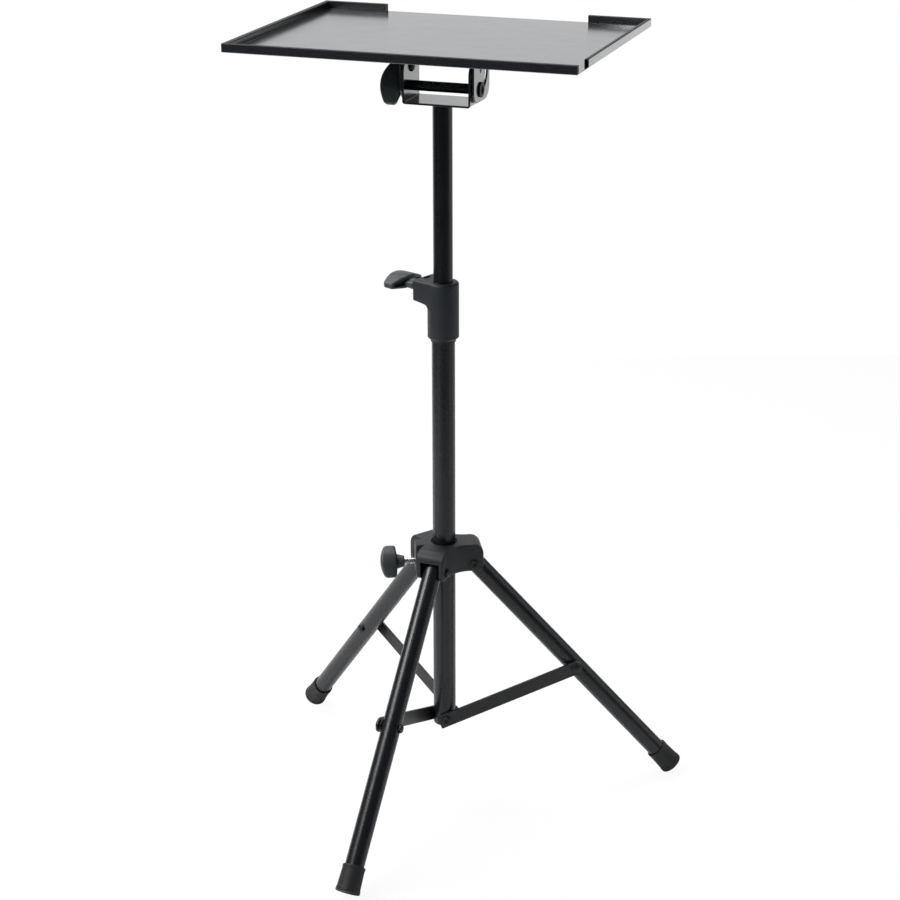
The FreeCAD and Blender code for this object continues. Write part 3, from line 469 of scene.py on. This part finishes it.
def copy_of(piece):
    """A copy with a mesh of its own."""
    twin = piece.copy()
    twin.data = piece.data.copy()
    bpy.context.collection.objects.link(twin)
    return twin


def moved(piece, place):
    """The piece with its mesh moved to a place."""
    piece.data.transform(place)
    return piece


def bolted(*pieces):
    """Joins pieces into the first."""
    pick(*pieces)
    bpy.ops.object.join()
    return pieces[0]


def settle(piece, name, place, finish_name, body, node):
    """Moves the piece's mesh to its place and hands it to the frame."""
    piece.name = name
    piece.data.name = name
    moved(piece, place)
    piece.data.update()
    piece.data.materials.clear()
    piece.data.materials.append(finishes[finish_name])
    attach(piece, body)
    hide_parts(node)
    print(name, len(piece.data.polygons), "faces on", body)


# %% Places of the legs and braces
LEG_HEADINGS = {"right": 116.7, "left": 236.7, "front": 356.7}
LEG_SPLAY = 40.6
HUB_PIVOT = (0.038, 0.0, 0.338797)
BRACE_PIVOT_HEIGHT = 0.109
BRACE_STATION = 0.2145


def headed(heading):
    """Turns local +X to a heading, counted from -Y towards +X."""
    return turned(heading - 90, "Z")


def leg_place(leg):
    """A leg's own axes: origin at its hub pivot, +Z up along the leg, -Y the brace's side."""
    return headed(LEG_HEADINGS[leg]) @ shifted(*HUB_PIVOT) @ turned(-LEG_SPLAY, "Y")


def brace_foot(leg):
    """The lower pivot of a brace, on the column's axis, with +X towards the leg."""
    return headed(LEG_HEADINGS[leg]) @ shifted(0, 0, BRACE_PIVOT_HEIGHT)


pivot_run = HUB_PIVOT[0] + BRACE_STATION * math.sin(math.radians(LEG_SPLAY))
pivot_rise = HUB_PIVOT[2] - BRACE_STATION * math.cos(math.radians(LEG_SPLAY)) - BRACE_PIVOT_HEIGHT
brace_length = math.hypot(pivot_run, pivot_rise)
brace_slope = Matrix.Rotation(-math.atan2(pivot_rise, pivot_run), 4, "Y")
print("brace", round(brace_length, 4), "m")

# %% [markdown]
# ## Softened castings and sheet
# The frame's solids have knife edges where the real mouldings and pressed sheets are a little round, and a
# round edge is what catches the light. Each such node is copied, its seams are merged and its flat faces made
# whole, and then a narrow bevel runs along every sharp edge.

# %% Softened copies
SOFT_EDGES = {
    "leg_hub": ("hub", 0.0009),
    "height_collar": ("column", 0.0008),
    "tilt_cradle": ("mast", 0.0005),
    "tray_hanger": ("tray", 0.0005),
    "tray": ("tray", 0.0003),
    "column_plug": ("column", 0.0005),
    "brace_right": ("brace_right", 0.0006),
    "brace_left": ("brace_left", 0.0006),
    "brace_front": ("brace_front", 0.0006),
}
FLAT_ANGLE = 0.3


def softened(node, body, width):
    """A copy of a node with bevelled edges."""
    piece = copy_of(nodes[node])
    piece.parent = None
    edit(piece)
    bpy.ops.mesh.remove_doubles(threshold=SAME)
    bpy.ops.mesh.dissolve_limited(angle_limit=math.radians(FLAT_ANGLE))
    close(piece, 30)
    bevelled(piece, width, segments=3, angle=40, smooth=40)
    settle(piece, f"soft_{node}", Matrix.Identity(4), slot_of[node], body, node)


for node, (body, width) in SOFT_EDGES.items():
    softened(node, body, width)

# %% [markdown]
# ## The tray's rims
# The two short rims at the back reach a little further in than the solid's, the left one more than the right.
# The side rims are hemmed sheet, rolled over towards the inside. The top of each is sliced into narrow
# strips, and each strip's verts sink along a quarter circle.

# %% Longer rims at the back
STUB_END = 0.1485
STUB_END_BAND = 0.0015
STUB_FRONT = 0.1585
TRAY_FLOOR_LOW = 1.0335
STUB_MORE = {1: 0.0090, -1: 0.0155}


def at_stub_end(vert, side):
    """Whether a vert lies at the inner end of the back rim on this side."""
    at_end = abs(side * vert.co.x - STUB_END) < STUB_END_BAND
    return at_end and vert.co.y > STUB_FRONT and vert.co.z > TRAY_FLOOR_LOW


rolled_tray = bpy.data.objects["soft_tray"]
edit(rolled_tray)
for side, more in STUB_MORE.items():
    ends = choose(rolled_tray, "verts", lambda vert: at_stub_end(vert, side))
    bpy.ops.transform.translate(value=(-side * more, 0, 0))
    print(ends, "verts at the end of a back rim moved by", more)

# %% Rolled rims
RIM_OUTSIDE = 0.2205
RIM_THICK = 0.0055
RIM_TOP_FACES = 0.001
RIM_TOP_VERTS = 0.00095
ROLL_WIDE = 0.0030
ROLL_STRIPS = 6
ROLL_SHARE = 0.6
ROW_BAND = 6e-6

rim_inside = RIM_OUTSIDE - RIM_THICK
shape = bmesh.from_edit_mesh(rolled_tray.data)
rim_top = max(vert.co.z for vert in shape.verts)


def on_rim_top(face, side):
    """Whether a face lies on top of the rim on this side."""
    centre = face.calc_center_median()
    return face.normal.z > 0.5 and side * centre.x > rim_inside and centre.z > rim_top - RIM_TOP_FACES


def in_row(vert, way_in):
    """Whether a vert of the rims' tops lies this far from their inner edge."""
    return abs(abs(vert.co.x) - rim_inside - way_in) < ROW_BAND and vert.co.z > rim_top - RIM_TOP_VERTS


for side in (1, -1):
    for strip in range(1, ROLL_STRIPS + 1):
        slice_place = side * (rim_inside + ROLL_WIDE * strip / ROLL_STRIPS)
        choose(rolled_tray, "faces", lambda face: on_rim_top(face, side))
        bpy.ops.mesh.bisect(plane_co=(slice_place, 0, 0), plane_no=(1, 0, 0), threshold=SAME)
sunk = 0
shape = bmesh.from_edit_mesh(rolled_tray.data)
top_verts = [vert for vert in shape.verts if vert.co.z > rim_top - RIM_TOP_VERTS]
ways_in = {round(abs(vert.co.x) - rim_inside, 5) for vert in top_verts}
for way_in in sorted(way for way in ways_in if -NEAR <= way < ROLL_WIDE):
    drop = ROLL_WIDE - math.sqrt(ROLL_WIDE ** 2 - (ROLL_WIDE - max(way_in, 0)) ** 2)
    sunk += choose(rolled_tray, "verts", lambda vert: in_row(vert, way_in))
    bpy.ops.transform.translate(value=(0, 0, -ROLL_SHARE * drop))
close(rolled_tray, 40)
print(sunk, "verts sunk along the rims")

# %% [markdown]
# ## Wing knobs
# Each clamp is drawn tight with a moulded wing: a crescent with a round back, two cut-off tips and a thick
# stem. A slice of a drum already has the round back, so a short cylinder is sliced flat in front, at the tips
# and along the two slants, and a fan of slices rounds each tip into the back. All its edges are rounded, its
# underside and the side at the stem are hollowed as a moulding is, and it is sliced into strips so that a
# lattice can raise its crown and thin its tips. The wings differ only in size, so one function models each at
# its own span.

# %% Lattice for the wing
KNOB_THICK = 0.0135
CROWN_LIFTS = (-0.0044, 0.0022, 0.0052, 0.0022, -0.0044)
SOLE_LIFTS = (0.0040, 0.0012, 0.0, 0.0012, 0.0040)


def arch(wing, span, depth):
    """Raises the crown (+Y) along the wing and thins its tips (+Z and -Z)."""
    bpy.ops.object.select_all(action="DESELECT")
    bpy.ops.object.add(type="LATTICE", location=(depth / 2, 0, 0))
    cage = bpy.context.object
    cage.data.points_u = 2
    cage.data.points_v = 2
    cage.data.points_w = len(CROWN_LIFTS)
    cage.data.interpolation_type_w = "KEY_CARDINAL"
    wide, thick, long = (2 * max(point.co[axis] for point in cage.data.points) for axis in range(3))
    cage.scale = (depth / wide, KNOB_THICK / thick, span / long)
    for point in cage.data.points:
        row = round((point.co.z / long + 0.5) * (len(CROWN_LIFTS) - 1))
        lift = CROWN_LIFTS[row] if point.co.y > 0 else SOLE_LIFTS[row]
        point.co_deform.y += lift * thick / KNOB_THICK
    bpy.context.view_layer.update()
    pick(wing)
    bend = wing.modifiers.new("arch", "LATTICE")
    bend.object = cage
    bpy.ops.object.modifier_apply(modifier="arch")
    bpy.data.objects.remove(cage)


# %% Wing knob
WING_DEPTH_SHARE = 0.51
WING_TIP_SHARE = 0.37
WING_FLAT = 0.016
WING_STRIPS = 20
TIP_ROUND = 0.0065
TIP_CUTS = 7
EDGE_ROUND = 0.0032
SOLE_RIM = 0.0016
SOLE_HOLLOW = 0.0055
SOLE_TAPER = 0.94
SIDE_LEAST = 4e-5
SIDE_RIM = 0.0007
SIDE_HOLLOW = 0.004
STEM_RADIUS = 0.0075
STEM_ROUND = 0.0012
STEM_ROOT = (1, 0.75, 1.4)


def round_tip(side, span, depth, back):
    """Rounds a tip into the wing's back with a fan of slices."""
    out = span / 2 - TIP_ROUND
    deep = depth - back + math.sqrt((back - TIP_ROUND) ** 2 - out ** 2)
    fan = math.atan2(deep - depth + back, out)
    for step in range(1, TIP_CUTS):
        turn = fan * step / TIP_CUTS
        way = Vector((math.sin(turn), 0, side * math.cos(turn)))
        cut(Vector((deep, 0, side * out)) + TIP_ROUND * way, way)


def wing_blade(span, slant):
    """The wing alone: its back on +X, tips on +Z and -Z, crowned face on +Y."""
    depth = WING_DEPTH_SHARE * span
    bulge = depth - WING_TIP_SHARE * span
    back = (bulge ** 2 + span ** 2 / 4) / (2 * bulge)
    wing = drum(160, back, KNOB_THICK, (depth - back, 0, 0), (math.pi / 2, 0, 0))
    edit(wing)
    cut((0, 0, 0), (-1, 0, 0))
    for side in (1, -1):
        cut((0, 0, side * span / 2), (0, 0, side))
        cut((0, 0, side * WING_FLAT / 2), (WING_FLAT / 2 - span / 2, 0, side * slant))
        round_tip(side, span, depth, back)
    bpy.ops.mesh.select_mode(type="EDGE")
    bpy.ops.mesh.select_all(action="DESELECT")
    bpy.ops.mesh.edges_select_sharp(sharpness=math.radians(25))
    bpy.ops.mesh.bevel(offset=EDGE_ROUND, segments=5, profile=0.5, affect="EDGES", clamp_overlap=False)
    choose(wing, "faces", lambda face: face.normal.y < -0.99 and face.calc_area() > span * depth / 3)
    bpy.ops.mesh.inset(thickness=SOLE_RIM, use_even_offset=True)
    push(0, SOLE_HOLLOW, 0)
    bpy.ops.transform.resize(value=(SOLE_TAPER, 1, SOLE_TAPER))
    choose(wing, "faces", lambda face: face.normal.x < -0.8 and face.calc_area() > SIDE_LEAST)
    bpy.ops.mesh.inset(thickness=SIDE_RIM, use_even_offset=True)
    push(SIDE_HOLLOW, 0, 0)
    for strip in range(1, WING_STRIPS):
        cut((0, 0, span * (strip / WING_STRIPS - 0.5)), (0, 0, 1), keep_far=True)
    close(wing, 40)
    arch(wing, span, depth)
    bpy.ops.object.shade_smooth_by_angle(angle=math.radians(40))
    return wing


def wing_knob(span, stem, slant_share):
    """A wing with its stem: +X out along the screw, tips on +Z and -Z, crowned face on +Y."""
    slant = slant_share * span
    wing = wing_blade(span, slant)
    reach = stem + slant
    post = drum(48, STEM_RADIUS, reach, (reach / 2 - stem, 0, 0), (0, math.pi / 2, 0))
    edit(post)
    choose(post, "edges", lambda edge: all(abs(vert.co.x + stem) < NEAR for vert in edge.verts))
    bpy.ops.mesh.bevel(offset=STEM_ROUND, segments=3, affect="EDGES")
    choose(post, "verts", lambda vert: vert.co.x > slant - NEAR)
    bpy.ops.transform.resize(value=STEM_ROOT)
    close(post, 40)
    return bolted(wing, post)


# %% Knobs in place
COLLAR_HEADING = -112.5
COLLAR_SCREW_HEIGHT = 0.712
COLLAR_KNOB_TURN = 90
COLLAR_KNOB_OUT = 0.056
HUB_SCREW_HEADING = 296.7
HUB_SCREW_HEIGHT = 0.340797
HUB_KNOB_TURN = 35
HUB_KNOB_OUT = 0.0635
TILT_CLAMP = (0, 0.004, 0.973)
TILT_KNOB_TURN = 27
TILT_KNOB_OUT = 0.0536

collar_screw_place = headed(COLLAR_HEADING) @ shifted(0, 0, COLLAR_SCREW_HEIGHT)
collar_knob_place = collar_screw_place @ turned(COLLAR_KNOB_TURN, "X")
hub_screw_place = headed(HUB_SCREW_HEADING) @ shifted(0, 0, HUB_SCREW_HEIGHT)
hub_knob_place = hub_screw_place @ turned(HUB_KNOB_TURN, "X")
tilt_knob_place = shifted(*TILT_CLAMP) @ turned(180, "Z") @ turned(TILT_KNOB_TURN, "X")
collar_wing = wing_knob(span=0.058, stem=0.010, slant_share=0.11)
settle(collar_wing, "wing_collar", collar_knob_place @ shifted(COLLAR_KNOB_OUT, 0, 0), "knob_plastic",
       "collar_knob", "collar_knob")
hub_wing = wing_knob(span=0.043, stem=0.010, slant_share=0.03)
settle(hub_wing, "wing_hub", hub_knob_place @ shifted(HUB_KNOB_OUT, 0, 0), "knob_plastic",
       "hub_knob", "hub_knob")
tilt_wing = wing_knob(span=0.053, stem=0.005, slant_share=0.11)
settle(tilt_wing, "wing_tilt", tilt_knob_place @ shifted(TILT_KNOB_OUT, 0, 0), "knob_plastic",
       "tilt_knob", "tilt_knob")

# %% [markdown]
# ## Screws, nuts and rivets
# The legs hang on cross-recessed screws with domed nuts at the back, and the braces on a screw at the column
# and a rivet at the leg. A pan head is a drum with a rounded rim, and its recess is the cross of faces that
# two pairs of slices leave on its top, pushed in. The nut is a hexagon under a dome. Heads and nuts are
# modelled once, standing on their seat with +Z outwards, and copied.

# %% Pan head
HEAD_RADIUS = 0.0062
HEAD_HEIGHT = 0.003
HEAD_ROUND = 0.0016
RECESS_HALF = 0.0008
RECESS_REACH = 0.0032
RECESS_DEPTH = 0.0018
RECESS_TAPER = 0.7


def in_cross(face):
    """Whether a face of the head's top lies in its recess."""
    centre = face.calc_center_median()
    across, along = sorted((abs(centre.x), abs(centre.y)))
    on_top = face.normal.z > 0.9 and centre.z > HEAD_HEIGHT - NEAR
    return on_top and across < RECESS_HALF and along < RECESS_REACH


pan_head = drum(48, HEAD_RADIUS, HEAD_HEIGHT, (0, 0, HEAD_HEIGHT / 2))
edit(pan_head)
choose(pan_head, "edges", lambda edge: middle(edge).z > HEAD_HEIGHT - NEAR)
bpy.ops.mesh.bevel(offset=HEAD_ROUND, segments=5, affect="EDGES")
for slice_place in (-RECESS_REACH, -RECESS_HALF, RECESS_HALF, RECESS_REACH):
    cut((slice_place, 0, 0), (1, 0, 0), keep_far=True)
    cut((0, slice_place, 0), (0, 1, 0), keep_far=True)
print(choose(pan_head, "faces", in_cross), "faces in the recess")
push(0, 0, -RECESS_DEPTH)
bpy.ops.transform.resize(value=(RECESS_TAPER, RECESS_TAPER, 1))
close(pan_head, 30)

# %% Domed nut
HEXAGON_HEIGHT = 0.0024
HEXAGON_ROUND = 0.0003
DOME_RADIUS = 0.0047
DOME_SEAT = 0.0018
DOME_SQUASH = 0.46

hexagon = drum(6, HEAD_RADIUS, HEXAGON_HEIGHT, (0, 0, HEXAGON_HEIGHT / 2))
edit(hexagon)
bpy.ops.mesh.bevel(offset=HEXAGON_ROUND, segments=2, affect="EDGES")
close(hexagon, 30)
dome = half_ball(32, DOME_RADIUS, DOME_SEAT, DOME_SQUASH)
close(dome, 40)
domed_nut = bolted(hexagon, dome)
print("nut", round(max(vert.co.z for vert in domed_nut.data.vertices), 5), "m high")

# %% Rivet head, shank and washer
HEAD_RIM_SHARE = 0.25
SHANK_CHAMFER = 0.0005
WASHER_ROUND = 0.0004


def domed_head(radius, height):
    """A low round head with a thin straight rim."""
    rim = height * HEAD_RIM_SHARE
    head = half_ball(48, radius, 0, (height - rim) / radius)
    bpy.ops.transform.translate(value=(0, 0, rim))
    choose(head, "faces", lambda face: face.normal.z < -0.9)
    push(0, 0, -rim)
    close(head, 40)
    return head


def shank(radius, length):
    """A plain stalk from its seat downwards, with a chamfered end."""
    stalk = drum(32, radius, length, (0, 0, -length / 2))
    edit(stalk)
    choose(stalk, "edges", lambda edge: middle(edge).z < NEAR - length)
    bpy.ops.mesh.bevel(offset=SHANK_CHAMFER, segments=2, affect="EDGES")
    close(stalk, 40)
    return stalk


def washer(radius, height):
    """A round spacer with rounded rims, standing on its seat."""
    ring = drum(48, radius, height, (0, 0, height / 2))
    edit(ring)
    choose(ring, "edges", lambda edge: abs(edge.verts[0].co.z - edge.verts[1].co.z) < SAME)
    bpy.ops.mesh.bevel(offset=WASHER_ROUND, segments=3, affect="EDGES")
    close(ring, 40)
    return ring


rivet_head = domed_head(HEAD_RADIUS, HEAD_HEIGHT)
print("rivet head", len(rivet_head.data.polygons), "faces")

# %% Fasteners in place
HUB_SIDE = 0.0195
LEG_RADIUS = 0.0125
LEG_WASHER = 0.0025
BRACE_SEAT = 0.0153
BRACE_FACE = 0.0183
BRACE_SCREW_SEAT = 0.0186
SCREW_END = 0.005
SHANK_RADIUS = 0.003


def seat(height):
    """A seat that faces -Y, this far from the axis."""
    return shifted(0, -height, 0) @ turned(90, "X")


def back_seat(height):
    """A seat that faces +Y, this far from the axis."""
    return shifted(0, height, 0) @ turned(-90, "X")


for leg in LEG_HEADINGS:
    hub_bolt = bolted(moved(copy_of(pan_head), seat(HUB_SIDE)),
                      moved(shank(SHANK_RADIUS, 2 * HUB_SIDE), seat(HUB_SIDE)),
                      moved(copy_of(domed_nut), back_seat(HUB_SIDE)))
    settle(hub_bolt, f"bolt_hub_{leg}", leg_place(leg), "black_steel", "hub", f"hub_bolt_{leg}")
    leg_bolt = bolted(moved(washer(HEAD_RADIUS, LEG_WASHER), seat(LEG_RADIUS)),
                      moved(shank(SHANK_RADIUS, 2 * LEG_RADIUS), seat(LEG_RADIUS)),
                      moved(copy_of(domed_nut), back_seat(LEG_RADIUS)))
    settle(leg_bolt, f"bolt_leg_{leg}", leg_place(leg) @ shifted(0, 0, -BRACE_STATION), "black_steel",
           f"leg_{leg}", f"leg_bolt_{leg}")
    brace_rivet = bolted(moved(copy_of(rivet_head), seat(BRACE_FACE)),
                         moved(shank(SHANK_RADIUS, BRACE_FACE - BRACE_SEAT), seat(BRACE_FACE)))
    settle(brace_rivet, f"rivet_brace_{leg}", brace_foot(leg) @ brace_slope @ shifted(brace_length, 0, 0),
           "black_steel", f"brace_{leg}", f"brace_rivet_{leg}")
    brace_screw = bolted(moved(copy_of(pan_head), seat(BRACE_SCREW_SEAT)),
                         moved(shank(SHANK_RADIUS, BRACE_SCREW_SEAT - SCREW_END), seat(BRACE_SCREW_SEAT)))
    settle(brace_screw, f"screw_brace_{leg}", brace_foot(leg), "black_steel", "column", f"brace_screw_{leg}")
for spare in (pan_head, domed_nut, rivet_head):
    bpy.data.objects.remove(spare)

# %% [markdown]
# ## Clamp bolt and pivot rivets
# The tilt clamp is a long bolt, pulled through both ears by the wing on its other end. Its low head is a drum
# with a rounded rim and a round socket. The tray turns on a rivet in each ear, with a domed head inside the
# bracket.

# %% Clamp bolt
CLAMP_SEAT = 0.0486
CLAMP_END = 0.0626
CLAMP_RADIUS = 0.004
CLAMP_HEAD_RADIUS = 0.0095
CLAMP_HEAD = 0.002
SOCKET_RIM = 0.0038
SOCKET_DEPTH = 0.0015
SOCKET_TAPER = 0.9


def on_clamp_head(face):
    """Whether a face is the flat top of the clamp bolt's head."""
    return face.normal.z > 0.99 and face.calc_center_median().z > CLAMP_HEAD - NEAR


clamp_head = washer(CLAMP_HEAD_RADIUS, CLAMP_HEAD)
edit(clamp_head)
choose(clamp_head, "faces", on_clamp_head)
bpy.ops.mesh.inset(thickness=SOCKET_RIM)
push(0, 0, -SOCKET_DEPTH)
bpy.ops.transform.resize(value=(SOCKET_TAPER, SOCKET_TAPER, 1))
close(clamp_head, 30)
clamp_bolt = bolted(clamp_head, shank(CLAMP_RADIUS, CLAMP_SEAT + CLAMP_END))
clamp_place = shifted(*TILT_CLAMP) @ turned(90, "Y") @ shifted(0, 0, CLAMP_SEAT)
settle(clamp_bolt, "bolt_clamp", clamp_place, "black_steel", "mast", "clamp_bolt")

# %% Pivot rivets
EAR_INSIDE = 0.0418
EAR_OUTSIDE = 0.0483
PIVOT = (0, 0.004, 0.997)
PIVOT_RADIUS = 0.0032
PIVOT_HEAD_RADIUS = 0.007
PIVOT_HEAD = 0.004

for side, sign in (("right", 1), ("left", -1)):
    pivot = bolted(domed_head(PIVOT_HEAD_RADIUS, PIVOT_HEAD), shank(PIVOT_RADIUS, EAR_OUTSIDE - EAR_INSIDE))
    inward = shifted(sign * EAR_INSIDE, 0, 0) @ turned(-90 * sign, "Y")
    settle(pivot, f"rivet_pivot_{side}", shifted(*PIVOT) @ inward, "black_steel", "mast",
           f"pivot_rivet_{side}")

# %% [markdown]
# ## The hub's clamp screw
# A bright stretch of thread shows between the hub and its wing. A thread is one tooth swept round and along
# at once, which is what the screw modifier does to a short edge. Plain rod carries on inside the hub and
# the knob.

# %% Threaded screw
ROD_START = 0.0163
ROD_END = 0.0675
SCREW_RADIUS = 0.004
THREAD_ROOT = 0.0033
PITCH = 0.00125
CREST_HALF = 0.3 * PITCH
THREAD_START = 0.0375
THREAD_TURNS = 14
THREAD_STEPS = 28


def threaded_rod(start, end, thread_start, turns):
    """A rod along +Z from start to end, threaded for some turns."""
    bpy.ops.object.select_all(action="DESELECT")
    bpy.ops.mesh.primitive_plane_add(size=PITCH, location=(THREAD_ROOT, 0, 0), rotation=(math.pi / 2, 0, 0))
    tooth = bpy.context.object
    bpy.ops.object.transform_apply(location=True, rotation=True, scale=True)
    edit(tooth)
    choose(tooth, "verts", lambda vert: vert.co.x < THREAD_ROOT)
    bpy.ops.mesh.delete(type="VERT")
    choose(tooth, "edges", lambda edge: True)
    bpy.ops.mesh.subdivide(number_cuts=3)
    choose(tooth, "verts", lambda vert: abs(vert.co.z) > CREST_HALF)
    bpy.ops.transform.translate(value=(-PITCH / 2, 0, 0))
    choose(tooth, "verts", lambda vert: abs(vert.co.z) < CREST_HALF)
    bpy.ops.transform.translate(value=(SCREW_RADIUS - THREAD_ROOT - PITCH / 2, 0, 0))
    bpy.ops.object.mode_set(mode="OBJECT")
    thread = tooth.modifiers.new("thread", "SCREW")
    thread.axis = "Z"
    thread.screw_offset = PITCH
    thread.iterations = turns
    thread.steps = THREAD_STEPS
    thread.render_steps = THREAD_STEPS
    thread.use_merge_vertices = True
    bpy.ops.object.modifier_apply(modifier="thread")
    edit(tooth)
    bpy.ops.mesh.remove_doubles(threshold=SAME)
    bpy.ops.transform.translate(value=(0, 0, thread_start))
    close(tooth, 50)
    core = moved(shank(THREAD_ROOT, end - start), shifted(0, 0, end))
    return bolted(tooth, core)


hub_rod = threaded_rod(ROD_START, ROD_END, THREAD_START, THREAD_TURNS)
settle(hub_rod, "screw_hub", hub_knob_place @ turned(90, "Y"), "zinc_steel", "hub_knob", "hub_screw")

# %% [markdown]
# ## Rubber feet
# Each leg stands in a moulded boot: a cone with a thick rolled mouth and a wider band round its sole. A
# cylinder is sliced into rings, each ring is scaled to the boot's radius there, and the mouth is inset and
# pushed down round the tube.

# %% Rubber foot
LEG_LENGTH = 0.4325
FOOT_RADIUS = 0.015
FOOT_HEIGHT = 0.0345
MOUTH_OUTSIDE = 0.0143
MOUTH_INSIDE = 0.0126
MOUTH_DEPTH = 0.0275
FOOT_EDGE = 0.0004
FOOT_RINGS = (
    (0.0, 0.0152),
    (0.0008, 0.0160),
    (0.0052, 0.0159),
    (0.0060, 0.0153),
    (0.0070, 0.0153),
    (0.0300, 0.0145),
    (0.0312, 0.0149),
    (0.0336, 0.0149),
    (FOOT_HEIGHT, MOUTH_OUTSIDE),
)


def on_mouth(face):
    """Whether a face lies on the boot's upper end."""
    return face.normal.z > 0.9 and face.calc_center_median().z > FOOT_HEIGHT - NEAR


def rubber_foot():
    """A boot along +Z, its sole at the start."""
    boot = drum(64, FOOT_RADIUS, FOOT_HEIGHT, (0, 0, FOOT_HEIGHT / 2))
    edit(boot)
    for height, radius in FOOT_RINGS[1:-1]:
        cut((0, 0, height), (0, 0, 1), keep_far=True)
    for height, radius in FOOT_RINGS:
        wider = radius / FOOT_RADIUS
        choose(boot, "verts", lambda vert: abs(vert.co.z - height) < NEAR)
        bpy.ops.transform.resize(value=(wider, wider, 1), center_override=(0, 0, height))
    choose(boot, "faces", on_mouth)
    bpy.ops.mesh.inset(thickness=MOUTH_OUTSIDE - MOUTH_INSIDE)
    push(0, 0, -MOUTH_DEPTH)
    close(boot, 30)
    bevelled(boot, FOOT_EDGE, segments=2, angle=20, smooth=50)
    return boot


first_boot = rubber_foot()
for leg in LEG_HEADINGS:
    settle(copy_of(first_boot), f"boot_{leg}", leg_place(leg) @ shifted(0, 0, -LEG_LENGTH), "foot_rubber",
           f"leg_{leg}", f"foot_{leg}")
bpy.data.objects.remove(first_boot)
